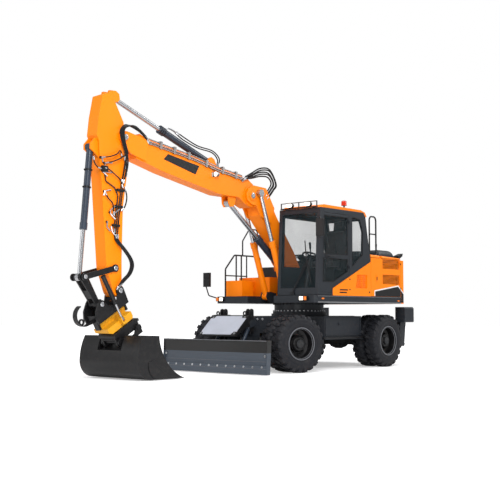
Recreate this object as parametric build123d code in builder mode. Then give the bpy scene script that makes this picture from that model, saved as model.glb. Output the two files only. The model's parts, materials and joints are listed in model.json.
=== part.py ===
from build123d import *
import math
import os

# Wheeled excavator with a two-piece boom, front blade, rear outriggers and a
# tilting and turning tool head that carries a wide grading bucket.
# Millimetres, +X forward, +Y left, +Z up, ground at z = 0.
# Every station named x, and every plan position, is measured from the slew axis.

# Place of the slew axis in the model
slew_x = -1610.0

# Running gear
front_axle_x = 1300.0
rear_axle_x = -1330.0
tyre_radius = 521.0
tyre_width = 270.0
twin_spacing = 310.0
outer_tyre_face = 1248.0
rim_radius = 280.0
kingpin_y = 585.0
steer_rest = 14.0
axle_z = tyre_radius
outer_tyre_y = outer_tyre_face - tyre_width / 2
inner_tyre_y = outer_tyre_y - twin_spacing
lug_count = 22
lug_height = 24.0
lug_root = 66.0
lug_crown = 0.4

# Main frame
frame_bottom = 590.0
frame_top = 1020.0
frame_half_front = 255.0
frame_half_middle = 440.0
frame_front = 1990.0
frame_rear = -1960.0
frame_plate = 25.0
locker_y = 950.0
locker_rear = rear_axle_x + tyre_radius + 25.0
locker_front = 430.0
race_radius = 520.0
race_top = 1110.0

# Upper structure
house_bottom = 1264.0
deck_top = 1400.0
house_half = 1240.0
deck_front = 1110.0
house_rear = -1800.0
tail_radius = 2320.0
tail_x = -2210.0
hood_top = 2170.0
seam_x = -715.0
panel = 40.0
slew_gap = 0.8

# Boom, arm and tool pivots in the boom's own plane: x, z
boom_y = -70.0
foot_pin = (80.0, 1720.0)
elbow_pin = (1540.0, 3270.0)
lift_tail = (650.0, 1400.0)
lift_head = (1370.0, 3330.0)
position_tail = (480.0, 1960.0)
position_head = (2000.0, 3110.0)
arm_pin = (4680.0, 3940.0)
arm_cyl_tail = (2560.0, 3800.0)
arm_cyl_head = (4830.0, 4600.0)
bucket_cyl_tail = (5270.0, 3720.0)
rocker_pin = (4840.0, 1790.0)
rod_pin = (5455.0, 1632.0)
tool_pin = (4750.0, 1432.0)
coupler_span = 440.0
tool_pitch = 31.0
lift_offset = 235.0
upper_half = 150.0
arm_half = 125.0
lower_half = 190.0
plate_gap = 6.0

# Blade
blade_face_x = 2470.0
blade_half = 1260.0
blade_bottom = 15.0
blade_top = 600.0
blade_arm_y = 230.0
blade_low_root = (1800.0, 400.0)
blade_low_tip = (2330.0, 150.0)
blade_high_root = (1800.0, 565.0)
blade_high_tip = (2330.0, 315.0)
blade_cyl_tail = (1850.0, 880.0)
blade_cyl_head = (2190.0, 300.0)
blade_cyl_y = 325.0

# Cab
cab_right = 272.0
cab_left = 1245.0
cab_floor = 1410.0
cab_roof = 3030.0
cab_front_bottom = 1000.0
cab_front_top = 925.0
cab_back = -700.0
cab_wall = 45.0
pillar_x = -15.0
door_gap = 6.0
door_axis = (22.0, 1256.0)
hinge_heights = (1960.0, 2820.0)
hinge_leaf = 5.0

# Hinges of the service doors and of the engine hood
service_axis = (house_rear + 14.0, house_half + 8.0)
service_heights = (1560.0, 2060.0)
small_hinge = 8.0
small_pin = 4.0
small_knuckle = 30.0

# Outriggers
outrigger_x = -2150.0
outrigger_half = 100.0
outrigger_root = 860.0
outrigger_pin = (975.0, 430.0)

# Lifting eyes on the front cover
lifting_eye = (1999.0, 1065.0)
lifting_eye_y = 330.0
lifting_eye_radius = 22.0
lifting_eye_width = 14.0

# Small common sizes
cover_half = 440.0
spindle_radius = 55.0
blade_pin = 22.0
seat_gap = 0.4
line_radius = 11.0
line_bend = 90.0
hub_bore = spindle_radius + 0.5
tank_top = 1790.0
rail_radius = 16.0
saddle_top = 706.0
hood_front = -1048.0
hood_axis = (hood_front + 4.0, hood_top + small_hinge + 1.0)
hood_hinge_y = 720.0


def side(y=0.0):
    """Upright plane along the machine: sketch x is forward, sketch y is up."""
    return Plane(origin=(slew_x, y, 0), x_dir=(1, 0, 0), z_dir=(0, -1, 0))


def top(z=0.0):
    """Level plane at height z."""
    return Plane(origin=(slew_x, 0, z), x_dir=(1, 0, 0), z_dir=(0, 0, 1))


def front(x=0.0):
    """Upright plane across the machine: sketch x is left, sketch y is up."""
    return Plane(origin=(slew_x + x, 0, 0), x_dir=(0, 1, 0), z_dir=(1, 0, 0))


def face_of(plane, points):
    """Closed outline of straight edges."""
    with BuildSketch(plane, mode=Mode.PRIVATE) as sketch:
        with BuildLine():
            Polyline(*points, close=True)
        make_face()
    return sketch.sketch


def slab(points, y, width, mode=Mode.ADD):
    """Plate of the given side outline, centred on y."""
    extrude(face_of(side(y), points), amount=width / 2, both=True, mode=mode)


def block(x, y, z, mode=Mode.ADD):
    """Box between two limits on each axis."""
    with BuildSketch(top(z[0]), mode=Mode.PRIVATE) as sketch:
        with Locations(((x[0] + x[1]) / 2, (y[0] + y[1]) / 2)):
            Rectangle(x[1] - x[0], y[1] - y[0])
    extrude(sketch.sketch, amount=z[1] - z[0], mode=mode)


def cross_disc(pin, radius, y, width, mode=Mode.ADD):
    """Disc or boss with its axis across the machine."""
    with BuildSketch(side(y), mode=Mode.PRIVATE) as sketch:
        with Locations(pin):
            Circle(radius)
    extrude(sketch.sketch, amount=width / 2, both=True, mode=mode)


def direction(start, end):
    """Unit vector in the side view from start to end, and the distance."""
    run = math.hypot(end[0] - start[0], end[1] - start[1])
    return (end[0] - start[0]) / run, (end[1] - start[1]) / run, run


def along(start, end, y, distance=0.0):
    """Plane square to the line from start to end, at a distance along it."""
    ux, uz, _ = direction(start, end)
    origin = (slew_x + start[0] + ux * distance, y, start[1] + uz * distance)
    return Plane(origin=origin, x_dir=(0, 1, 0), z_dir=(ux, 0, uz))


def stretch(plane, radius, length, mode=Mode.ADD):
    """Round bar that grows from a plane along its normal."""
    with BuildSketch(plane, mode=Mode.PRIVATE) as sketch:
        Circle(radius)
    extrude(sketch.sketch, amount=length, mode=mode)


def tube_path(points, radius, bend):
    """Bent round tube through the given points."""
    with BuildPart(mode=Mode.PRIVATE) as tube:
        with BuildLine() as route:
            FilletPolyline(*points, radius=bend)
        start = route.wires()[0]
        with BuildSketch(Plane(origin=start @ 0, z_dir=start % 0)):
            Circle(radius)
        sweep()
    return tube.part


# Cylinders: a barrel with its tail eye, and a rod with its head eye
rod_fit = 1.0
pin_fit = 0.5


def barrel(tail, head, y, size):
    """Barrel of a cylinder from its tail eye towards the rod's eye."""
    reach = size["barrel"]
    wall = size["outer"]
    stretch(along(tail, head, y, size["tail_eye"] * 0.6), wall, reach - size["tail_eye"] * 0.6)
    stretch(along(tail, head, y, reach - size["gland"]), wall * 1.14, size["gland"])
    cross_disc(tail, size["tail_eye"], y, size["tail_width"])
    stretch(along(tail, head, y, size["tail_eye"] * 1.35), size["rod"] + rod_fit,
            reach, mode=Mode.SUBTRACT)
    cross_disc(tail, size["pin"] + pin_fit, y, size["tail_width"] + 2, mode=Mode.SUBTRACT)


def rod(tail, head, y, size):
    """Rod of a cylinder from just inside the tail to the eye."""
    _, _, run = direction(tail, head)
    begin = run - size["rod_length"]
    stretch(along(tail, head, y, begin), size["rod"], size["rod_length"] - size["head_eye"] * 0.5)
    cross_disc(head, size["head_eye"], y, size["head_width"])


lift_size = dict(barrel=1110.0, outer=58.0, gland=110.0, rod=37.5, rod_length=1330.0,
                 tail_eye=70.0, head_eye=70.0, tail_width=110.0, head_width=80.0, pin=32.0)
position_size = dict(barrel=905.0, outer=68.0, gland=120.0, rod=42.5, rod_length=1330.0,
                     tail_eye=75.0, head_eye=75.0, tail_width=130.0, head_width=110.0, pin=34.0)
arm_size = dict(barrel=1283.0, outer=62.0, gland=120.0, rod=40.0, rod_length=1440.0,
                tail_eye=70.0, head_eye=70.0, tail_width=130.0, head_width=90.0, pin=32.0)
bucket_size = dict(barrel=1340.0, outer=54.0, gland=110.0, rod=35.0, rod_length=1440.0,
                   tail_eye=62.0, head_eye=62.0, tail_width=110.0, head_width=76.0, pin=28.0)
blade_size = dict(barrel=410.0, outer=38.0, gland=60.0, rod=24.0, rod_length=420.0,
                  tail_eye=50.0, head_eye=48.0, tail_width=72.0, head_width=60.0, pin=22.0)


def save(piece, name):
    """Label a finished piece and write it."""
    piece.part.label = name
    export_step(piece.part, "parts/" + name + ".step")


os.makedirs("parts", exist_ok=True)

# Main frame: a welded spine with wide middle, brackets fore and aft
with BuildPart() as chassis:
    spine = [(frame_rear, frame_bottom + 60), (frame_rear, frame_top - 40), (-1500, frame_top),
             (1550, frame_top), (frame_front, frame_top - 120), (frame_front, frame_bottom + 50),
             (900, frame_bottom), (-1000, frame_bottom)]
    slab(spine, 0, 2 * frame_half_front)
    for axle_x in (front_axle_x, rear_axle_x):
        block((axle_x - 195, axle_x + 195), (-frame_half_front - 5, frame_half_front + 5),
              (axle_z, saddle_top), mode=Mode.SUBTRACT)
    block((locker_rear + 40, locker_front - 60), (-frame_half_middle, frame_half_middle),
          (frame_bottom, frame_top))
    with BuildSketch(top(frame_top)):
        Circle(race_radius + 30)
    extrude(amount=race_top - frame_top - 45)
    with BuildSketch(top(race_top - 45)):
        Circle(race_radius)
    extrude(amount=45)
    # Side lockers with a step ledge along the foot
    for hand in (1, -1):
        near = hand * (frame_half_middle - 20)
        far = hand * locker_y
        block((locker_rear, locker_front), sorted((near, far)), (frame_bottom + 20, frame_top - 5))
        block((locker_rear + 10, locker_front + 30), sorted((near, far + hand * 45)),
              (frame_bottom - 20, frame_bottom + 20))
    # Blade arm brackets and the tall lugs of the blade cylinders
    for hand in (1, -1):
        for shift in (-46.0, 46.0):
            slab([(1560, 660), (1880, 660), (1880, 330), (1730, 330), (1560, 480)],
                 hand * blade_arm_y + shift, 20)
            slab([(1700, 860), (1900, 800), (1925, 880), (1880, 950), (1790, 950), (1700, 900)],
                 hand * blade_cyl_y + shift * 1.1, 12)
        cross_disc(blade_low_root, blade_pin, hand * blade_arm_y, 112)
        cross_disc(blade_high_root, blade_pin, hand * blade_arm_y, 112)
        cross_disc(blade_cyl_tail, blade_size["pin"], hand * blade_cyl_y, 112)
        block((1560, 1880), sorted((hand * 200.0, hand * (blade_arm_y + 56))), (645, 665))
        block((1700, 1790), sorted((hand * 200.0, hand * (blade_cyl_y + 50))), (840, 880))
    # Rear cross beam with the outrigger hinges
    block((outrigger_x - 140, frame_rear), (-outrigger_root, outrigger_root), (400, 700))
    block((frame_rear - 5, -1860), (-frame_half_front, frame_half_front), (480, 700))
    for hand in (1, -1):
        for shift in (-outrigger_half - 18, outrigger_half + 18):
            with BuildSketch(front(outrigger_x + shift)):
                with BuildLine():
                    Polyline((hand * (outrigger_root - 60), 400), (hand * (outrigger_root - 60), 700),
                             (hand * outrigger_pin[0], 500), (hand * (outrigger_pin[0] + 45), 440),
                             (hand * (outrigger_pin[0] + 30), 385), (hand * (outrigger_pin[0] - 60), 385),
                             close=True)
                make_face()
            extrude(amount=12.0, both=True)
        stretch(Plane(origin=(slew_x + outrigger_x - outrigger_half - 28, hand * outrigger_pin[0],
                              outrigger_pin[1]), z_dir=(1, 0, 0)), 24, 2 * outrigger_half + 56)
save(chassis, "chassis")

# Sloped cover plate over the blade linkage, with its side cheeks
with BuildPart() as front_cover:
    slab([(1992, 1012), (1992, 1034), (2006, 1034), (2394, 678), (2394, 660), (2384, 660), (2004, 1008)],
         0, 2 * cover_half)
    slab([(frame_front + 0.3, 820), (frame_front + 0.3, 1010), (2004, 1010), (2004, 820)], 0, 2 * cover_half)
    for hand in (1, -1):
        slab([(1996, 850), (1996, 1020), (2388, 664), (2340, 664)], hand * (cover_half - 8), 12)
        with BuildSketch(side(hand * lifting_eye_y), mode=Mode.PRIVATE) as eye:
            with Locations(lifting_eye):
                Circle(2 * lifting_eye_radius)
                Circle(lifting_eye_radius, mode=Mode.SUBTRACT)
            with Locations((lifting_eye[0], lifting_eye[1] - 41)):
                Rectangle(60, 36)
        extrude(eye.sketch, amount=lifting_eye_width / 2, both=True)
save(front_cover, "front_cover")

# Axles: a banjo housing with tubes out to the kingpins or the wheel spindles
for axle_x, name in ((front_axle_x, "front_axle"), (rear_axle_x, "rear_axle")):
    steered = name == "front_axle"
    with BuildPart() as axle:
        tube_end = kingpin_y - 88 if steered else kingpin_y + 30
        with BuildSketch(Plane(origin=(slew_x + axle_x, 0, axle_z), x_dir=(0, 1, 0), z_dir=(1, 0, 0))):
            with BuildLine():
                Polyline((-tube_end, 0), (-tube_end, 78), (-230, 88), (-150, 150), (-60, 178),
                         (60, 178), (150, 150), (230, 88), (tube_end, 78), (tube_end, 0), close=True)
            make_face()
        revolve(axis=Axis((slew_x + axle_x, 0, axle_z), (0, 1, 0)))
        for hand in (1, -1):
            if steered:
                block((axle_x - 60, axle_x + 60), sorted((hand * (kingpin_y - 92), hand * (kingpin_y - 74))),
                      (axle_z - 150, axle_z + 150))
                for low, high in ((-150, -112), (112, 150)):
                    block((axle_x - 50, axle_x + 50), sorted((hand * (kingpin_y - 90), hand * (kingpin_y + 45))),
                          (axle_z + low, axle_z + high))
                with BuildSketch(Plane(origin=(slew_x + axle_x, hand * kingpin_y, axle_z - 151))):
                    Circle(24.6)
                extrude(amount=302, mode=Mode.SUBTRACT)
                # Saddle that hangs the axle from the frame
                block((axle_x - 70, axle_x + 70), sorted((hand * 120, hand * 200)),
                      (axle_z + 50, saddle_top - 0.3))
            else:
                stretch(Plane(origin=(slew_x + axle_x, hand * (tube_end - 5), axle_z), z_dir=(0, hand, 0)),
                        spindle_radius, outer_tyre_y - 75 - tube_end + 5)
                block((axle_x - 75, axle_x + 75), sorted((hand * 150, hand * 245)),
                      (axle_z, saddle_top - 0.3))
    save(axle, name)


def wheel_plane(axle_x, hand, turn, shift=0.0):
    """Plane at a wheel's kingpin: normal points out along the stub axle."""
    angle = math.radians(turn)
    out = (hand * math.sin(angle), hand * math.cos(angle), 0)
    origin = (slew_x + axle_x + out[0] * shift, hand * kingpin_y + out[1] * shift, axle_z)
    return Plane(origin=origin, x_dir=(0, 0, 1), z_dir=out)


def ring_of(plane, inner, outer, start, length, mode=Mode.ADD):
    """Round ring along a plane's normal."""
    with BuildSketch(plane.offset(start), mode=Mode.PRIVATE) as sketch:
        Circle(outer)
        if inner:
            Circle(inner, mode=Mode.SUBTRACT)
    extrude(sketch.sketch, amount=length, mode=mode)


def turned(plane, outline, mode=Mode.ADD):
    """Body of revolution about a plane's normal from (distance along it, radius) points."""
    section = Plane(origin=plane.origin, x_dir=plane.z_dir, z_dir=plane.y_dir)
    revolve(face_of(section, outline), axis=Axis(plane.origin, plane.z_dir), mode=mode)


# One tyre about the z axis: carcass with bulged sidewalls, and two staggered rows of shoulder lugs
tyre_half = tyre_width / 2
carcass_radius = tyre_radius - lug_height
with BuildPart() as tyre:
    with BuildSketch(Plane.XZ):
        with BuildLine():
            Polyline((rim_radius, 30 - tyre_half), (rim_radius + 22, 27 - tyre_half),
                     (rim_radius + 60, 6 - tyre_half), (rim_radius + 105, -tyre_half),
                     (rim_radius + 150, 6 - tyre_half), (carcass_radius - 22, 26 - tyre_half),
                     (carcass_radius, 56 - tyre_half), (carcass_radius, tyre_half - 56),
                     (carcass_radius - 22, tyre_half - 26), (rim_radius + 150, tyre_half - 6),
                     (rim_radius + 105, tyre_half), (rim_radius + 60, tyre_half - 6),
                     (rim_radius + 22, tyre_half - 27), (rim_radius, tyre_half - 30), close=True)
        make_face()
    revolve(axis=Axis.Z)
    for hand, phase in ((1, 0.0), (-1, 0.5)):
        lug_planes = []
        for index in range(lug_count):
            angle = 2 * math.pi * (index + phase) / lug_count
            out = (math.cos(angle), math.sin(angle), 0)
            foot = tyre_radius - lug_root
            lug_planes.append(Plane(origin=(out[0] * foot, out[1] * foot, 0), x_dir=(0, 0, hand), z_dir=out))
        with BuildSketch(*lug_planes):
            with BuildLine():
                Polyline((6, -22), (tyre_half - 16, -40), (tyre_half - 16, 38), (6, 30), close=True)
            make_face()
        extrude(amount=lug_root - lug_crown)


# Twin wheels: two tyres, and one deep rim with the hub
wheel_table = [
    # name, axle x, hand, steering angle at rest
    ("front_left", front_axle_x, 1, steer_rest),
    ("front_right", front_axle_x, -1, steer_rest),
    ("rear_left", rear_axle_x, 1, 0.0),
    ("rear_right", rear_axle_x, -1, 0.0),
]
inner_mid = inner_tyre_y - kingpin_y
outer_mid = outer_tyre_y - kingpin_y
for name, axle_x, hand, turn in wheel_table:
    hub = wheel_plane(axle_x, hand, turn)
    with BuildPart() as tyres:
        for middle in (inner_mid, outer_mid):
            add(tyre.part.moved(hub.offset(middle).location))
    save(tyres, "tyres_" + name)
    with BuildPart() as rims:
        rim = rim_radius - 0.3
        first = inner_mid - tyre_width / 2 + 14
        last = outer_mid + tyre_width / 2 - 14
        ring_of(hub, rim - 16, rim, first, last - first)
        ring_of(hub, rim - 16, rim + 15, first, 11)
        ring_of(hub, rim - 16, rim + 15, last - 11, 11)
        ring_of(hub, hub_bore, 150, first + 10, outer_mid - 60 - first)
        # Coned dish, and the stepped housing of the hub gears
        turned(hub, [(outer_mid - 92, 148), (outer_mid - 70, 148), (outer_mid - 66, 212), (outer_mid - 34, rim - 8),
                     (outer_mid - 56, rim - 8), (outer_mid - 88, 212)])
        turned(hub, [(outer_mid - 60, 0), (outer_mid - 60, 150), (outer_mid - 6, 150), (outer_mid + 12, 136),
                     (outer_mid + 40, 128), (outer_mid + 52, 118), (outer_mid + 52, 86), (outer_mid + 75, 80),
                     (outer_mid + 75, 0)])
    save(rims, "rims_" + name)
    if turn:
        with BuildPart() as knuckle:
            with BuildSketch(Plane(origin=(slew_x + axle_x, hand * kingpin_y, axle_z - 106))):
                Circle(58)
            extrude(amount=212)
            with BuildSketch(Plane(origin=(slew_x + axle_x, hand * kingpin_y, axle_z - 148))):
                Circle(24)
            extrude(amount=296)
            ring_of(hub, 0, spindle_radius, 0, outer_mid - 75)
            ring_of(hub, 0, 76, 30, 44)
            # Steering arm behind the kingpin, square to the stub axle
            straight = (hub.z_dir.Y * hand, -hub.z_dir.X * hand, 0)
            arm_plane = Plane(origin=(slew_x + axle_x, hand * kingpin_y, axle_z - 100), x_dir=straight)
            with BuildSketch(arm_plane):
                with BuildLine():
                    Polyline((-40, hand * 34), (-40, -hand * 25), (-195, -hand * 48), (-195, -hand * 8),
                             close=True)
                make_face()
                with Locations((-195, -hand * 28)):
                    Circle(20)
            extrude(amount=30)
        save(knuckle, "knuckle_" + name.split("_")[1])

# Blade: curved mouldboard with end plates, stiffener and lugs
with BuildPart() as blade:
    with BuildSketch(side()):
        with BuildLine():
            Polyline((blade_face_x, blade_top - 215), (blade_face_x, blade_top), (blade_face_x - 42, blade_top),
                     (blade_face_x - 70, blade_top - 260), (blade_face_x - 20, blade_bottom),
                     (blade_face_x + 22, blade_bottom))
            ThreePointArc((blade_face_x + 22, blade_bottom), (blade_face_x - 22, 200),
                          (blade_face_x, blade_top - 215))
        make_face()
    extrude(amount=blade_half, both=True)
    for hand in (1, -1):
        slab([(blade_face_x - 100, blade_top), (blade_face_x + 14, blade_top), (blade_face_x + 30, blade_bottom),
              (blade_face_x - 60, blade_bottom)], hand * (blade_half + 8), 16)
        for shift in (-46.0, 46.0):
            slab([(2290, 120), (2330, 100), (2450, 60), (2450, 380), (2330, 365), (2290, 345)],
                 hand * blade_arm_y + shift, 20)
        cross_disc(blade_low_tip, blade_pin, hand * blade_arm_y, 112)
    block((2375, 2440), (-1150, 1150), (400, 470))
    # Bolted cutting edge, cap along the top and ribs behind
    slab([(blade_face_x + 16, blade_bottom), (blade_face_x + 36, blade_bottom), (blade_face_x + 6, 165),
          (blade_face_x - 22, 165)], 0, 2 * blade_half)
    slab([(blade_face_x - 50, blade_top - 26), (blade_face_x + 10, blade_top - 26), (blade_face_x + 10, blade_top),
          (blade_face_x - 50, blade_top)], 0, 2 * blade_half)
    for y in (-850.0, -520.0, 520.0, 850.0):
        slab([(blade_face_x - 120, 330), (blade_face_x - 105, 470), (blade_face_x - 60, 560),
              (blade_face_x - 45, 300), (blade_face_x - 20, 80)], y, 14)
save(blade, "blade")


def link_bar(start, end, y, width, radius, waist):
    """Flat link with round ends."""
    ux, uz, run = direction(start, end)
    cross_disc(start, radius, y, width)
    cross_disc(end, radius, y, width)
    nx, nz = -uz * waist, ux * waist
    slab([(start[0] + nx, start[1] + nz), (end[0] + nx, end[1] + nz),
          (end[0] - nx, end[1] - nz), (start[0] - nx, start[1] - nz)], y, width)


with BuildPart() as blade_arms:
    for hand in (1, -1):
        link_bar(blade_low_root, blade_low_tip, hand * blade_arm_y, 60, 46, 40)
        for shift in (-42.0, 42.0):
            slab([(2090, 240), (2150, 345), (2190, 350), (2235, 320), (2240, 180), (2100, 220)],
                 hand * blade_cyl_y + shift, 12)
        block((2110, 2220), sorted((hand * (blade_arm_y - 20), hand * (blade_cyl_y + 48))), (196, 236))
        for point in (blade_low_root, blade_low_tip):
            cross_disc(point, blade_pin + pin_fit, hand * blade_arm_y, 64, mode=Mode.SUBTRACT)
    # Cross tube between the arms
    stretch(Plane(origin=(slew_x + 2150, -blade_arm_y, 232), z_dir=(0, 1, 0)), 38, 2 * blade_arm_y)
save(blade_arms, "blade_arms")

with BuildPart() as blade_links:
    for hand in (1, -1):
        link_bar(blade_high_root, blade_high_tip, hand * blade_arm_y, 56, 36, 26)
        cross_disc(blade_high_root, blade_pin + pin_fit, hand * blade_arm_y, 60, mode=Mode.SUBTRACT)
save(blade_links, "blade_links")

with BuildPart() as blade_barrels:
    for hand in (1, -1):
        barrel(blade_cyl_tail, blade_cyl_head, hand * blade_cyl_y, blade_size)
save(blade_barrels, "blade_barrels")

with BuildPart() as blade_rods:
    for hand in (1, -1):
        rod(blade_cyl_tail, blade_cyl_head, hand * blade_cyl_y, blade_size)
save(blade_rods, "blade_rods")

# Outriggers: leg on its hinge with the ground pad folded up
for hand, name in ((1, "outrigger_left"), (-1, "outrigger_right")):
    with BuildPart() as outrigger:
        pin_y, pin_z = outrigger_pin
        with BuildSketch(front(outrigger_x)):
            with BuildLine():
                Polyline((hand * (pin_y - 48), pin_z), (hand * (pin_y - 20), 900), (hand * (pin_y + 90), 900),
                         (hand * (pin_y + 52), pin_z), close=True)
            make_face()
            with Locations((hand * pin_y, pin_z)):
                Circle(48)
        extrude(amount=outrigger_half, both=True)
        with BuildSketch(front(outrigger_x)):
            with BuildLine():
                Polyline((hand * (pin_y + 10), 890), (hand * (pin_y + 10), 1200), (hand * (pin_y + 215), 1200),
                         (hand * (pin_y + 240), 1170), (hand * (pin_y + 240), 900), (hand * (pin_y + 225), 885),
                         close=True)
            make_face()
        extrude(amount=175, both=True)
        stretch(Plane(origin=(slew_x + outrigger_x - outrigger_half - 5, hand * pin_y, pin_z), z_dir=(1, 0, 0)),
                24 + pin_fit, 2 * outrigger_half + 10, mode=Mode.SUBTRACT)
    save(outrigger, name)

# Upper structure floor with the boom well, boom brackets and swing bearing
well_right = boom_y - 315
well_left = boom_y + 310
with BuildPart() as deck:
    with BuildSketch(top(house_bottom)):
        with BuildLine():
            Polyline((house_rear + 0.5, -house_half), (deck_front - 60, -house_half), (deck_front, -house_half + 60),
                     (deck_front, well_right), (500, well_right), (500, well_left),
                     (deck_front - 40, well_left), (deck_front - 40, house_half - 50),
                     (deck_front - 90, house_half), (house_rear + 0.5, house_half), close=True)
        make_face()
    extrude(amount=deck_top - house_bottom)
    with BuildSketch(top(race_top + slew_gap)):
        Circle(race_radius - 30)
    extrude(amount=house_bottom - race_top - slew_gap + 5)
    for hand in (1, -1):
        y = boom_y + hand * (lower_half + plate_gap + 15)
        slab([(-560, deck_top - 10), (-420, 1700), (-60, 1850), (180, 1850), (240, 1760), (330, deck_top - 10)],
             y, 30)
        for shift in (-72.0, 72.0):
            slab([(440, 1290), (440, 1460), (600, 1490), (700, 1485), (735, 1400), (690, 1320), (600, 1280)],
                 boom_y + hand * lift_offset + shift, 16)
        cross_disc(lift_tail, lift_size["pin"], boom_y + hand * lift_offset, 160)
    cross_disc(foot_pin, 50, boom_y, 2 * (lower_half + plate_gap + 30))
    block((-560, -400), (boom_y - lower_half - 30, boom_y + lower_half + 30), (deck_top - 10, 1650))
    # Tank and valve cover behind the right rail
    block((-690, -120), (-1180, -440), (tank_top, 2020))
save(deck, "deck")

with BuildPart() as counterweight:
    with BuildSketch(top(house_bottom)):
        with BuildLine():
            Polyline((-1900, house_half), (house_rear, house_half), (house_rear, -house_half),
                     (-1900, -house_half))
            ThreePointArc((-1900, -house_half), (tail_x, 0), (-1900, house_half))
        make_face()
    extrude(amount=hood_top - 20 - house_bottom)
save(counterweight, "counterweight")

def hinge_barrel(x, y, height, mode=Mode.ADD):
    """Upright knuckle of a small hinge."""
    stretch(Plane(origin=(slew_x + x, y, height)), small_hinge, small_knuckle, mode)


def hinge_pin(x, y, height, spare=0.0, mode=Mode.ADD):
    """Upright pin that reaches from its knuckle into the one above."""
    stretch(Plane(origin=(slew_x + x, y, height + 2)), small_pin + spare, 2 * small_knuckle - 4, mode)


def hood_hinge_plane(y, hand):
    """Plane across the hood's hinge line, with its normal away from the middle."""
    return Plane(origin=(slew_x + hood_axis[0], y, hood_axis[1]), z_dir=(0, hand, 0))


def hood_leaf(near, far, first, last):
    """Flat hinge leaf on top of the hood or of the strip before it."""
    block(sorted((near, far)), sorted((first, last)), (hood_top, hood_top + hinge_leaf))


# Engine bay: bulkhead, sills and posts, with the engine as one block
with BuildPart() as engine_frame:
    block((seam_x - 45, seam_x - 8), (-1195, 1195), (deck_top, hood_top))
    block((hood_front + 8, seam_x - 8), (-1195, 1195), (hood_top - 40, hood_top))
    for hand in (1, -1):
        edge = hand * (house_half - panel - 0.3)
        block((house_rear + 0.5, seam_x - 40), sorted((hand * 1150, edge)), (deck_top, deck_top + 50))
        block((house_rear + 0.5, seam_x - 40), sorted((hand * 1150, edge)), (hood_top - 95, hood_top - 40.3))
        block((house_rear + 0.5, house_rear + 60), sorted((hand * 1150, edge)), (deck_top, hood_top - 40.3))
    # Leaves and knuckles that carry the service doors and the hood
    for hand in (1, -1):
        for height in service_heights:
            block((house_rear + 0.8, house_rear + 0.8 + hinge_leaf),
                  sorted((hand * (edge * hand - 12), hand * service_axis[1])), (height, height + small_knuckle))
            hinge_barrel(service_axis[0], hand * service_axis[1], height)
            hinge_pin(service_axis[0], hand * service_axis[1], height)
        hood_leaf(hood_front + 8, hood_front + 40, hand * hood_hinge_y, hand * (hood_hinge_y + small_knuckle))
        stretch(hood_hinge_plane(hand * hood_hinge_y, hand), small_hinge, small_knuckle)
        stretch(hood_hinge_plane(hand * (hood_hinge_y - small_knuckle), hand), small_pin, 2 * small_knuckle)
save(engine_frame, "engine_frame")

with BuildPart() as engine_block:
    block((-1640, -960), (-420, 420), (deck_top, 2000))
save(engine_block, "engine_block")

with BuildPart() as engine_hood:
    block((house_rear + 8, hood_front), (-1195, 1195), (hood_top - 40, hood_top))
    with BuildSketch(top(hood_top)):
        with Locations((-1330, 430)):
            RectangleRounded(500, 520, 120)
    extrude(amount=170, taper=18)
    block((-1795, -1600), (-300, 900), (hood_top, hood_top + 55))
    for hand in (1, -1):
        inner = hood_hinge_y - small_knuckle
        hood_leaf(hood_front - 40, hood_front - 1, hand * inner, hand * (hood_hinge_y - 0.5))
        stretch(hood_hinge_plane(hand * inner, hand), small_hinge, small_knuckle - 0.5)
        stretch(hood_hinge_plane(hand * (inner - 1), hand), small_pin + pin_fit, small_knuckle + 2,
                mode=Mode.SUBTRACT)
save(engine_hood, "engine_hood")

for hand, name in ((1, "service_door_left"), (-1, "service_door_right")):
    with BuildPart() as service_door:
        block((house_rear + 8, seam_x - 8), sorted((hand * (house_half - panel), hand * house_half)),
              (deck_top + 5, hood_top - 8))
        for low in (1655.0, 1965.0):
            block((-1760, -1130), sorted((hand * (house_half - panel - 5), hand * (house_half + 5))),
                  (low, low + 190), mode=Mode.SUBTRACT)
            for step in range(8):
                height = low + 12 + step * 24.0
                block((-1765, -1125), sorted((hand * (house_half - panel + 6), hand * (house_half - 6))),
                      (height, height + 10))
        for height in service_heights:
            upper = height + small_knuckle + 0.5
            block((service_axis[0], service_axis[0] + 40), sorted((hand * (house_half - 4), hand * service_axis[1])),
                  (upper, upper + small_knuckle))
            hinge_barrel(service_axis[0], hand * service_axis[1], upper)
            hinge_pin(service_axis[0], hand * service_axis[1], height, pin_fit, Mode.SUBTRACT)
    save(service_door, name)

# Orange side panel under the cab, toolbox and tank on the right
vent_depth = 24.0
vent_outline = [(-585, 1556), (-205, 1556), (-245, 1808), (-585, 1816)]
with BuildPart() as side_panels:
    slab([(545, deck_top + 0.3), (560, 1528), (seam_x + 3, 2080), (seam_x + 3, deck_top + 0.3)],
         house_half - panel / 2, panel)
    block((-700, 400), (-house_half, -430), (deck_top, tank_top))
    block((480, 830), (-house_half + 10, -780), (deck_top, tank_top - 70))
    # Vent with its slats, in the shape of a trapezium
    slab(vent_outline, house_half, 2 * vent_depth, mode=Mode.SUBTRACT)
    for step in range(6):
        height = 1590.0 + step * 36.0
        block((-555, -235), (house_half - vent_depth - 2, house_half - 5), (height, height + 12))
    block((-420, -405), (house_half - vent_depth - 2, house_half - 5), (1570, 1800))
save(side_panels, "side_panels")

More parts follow.
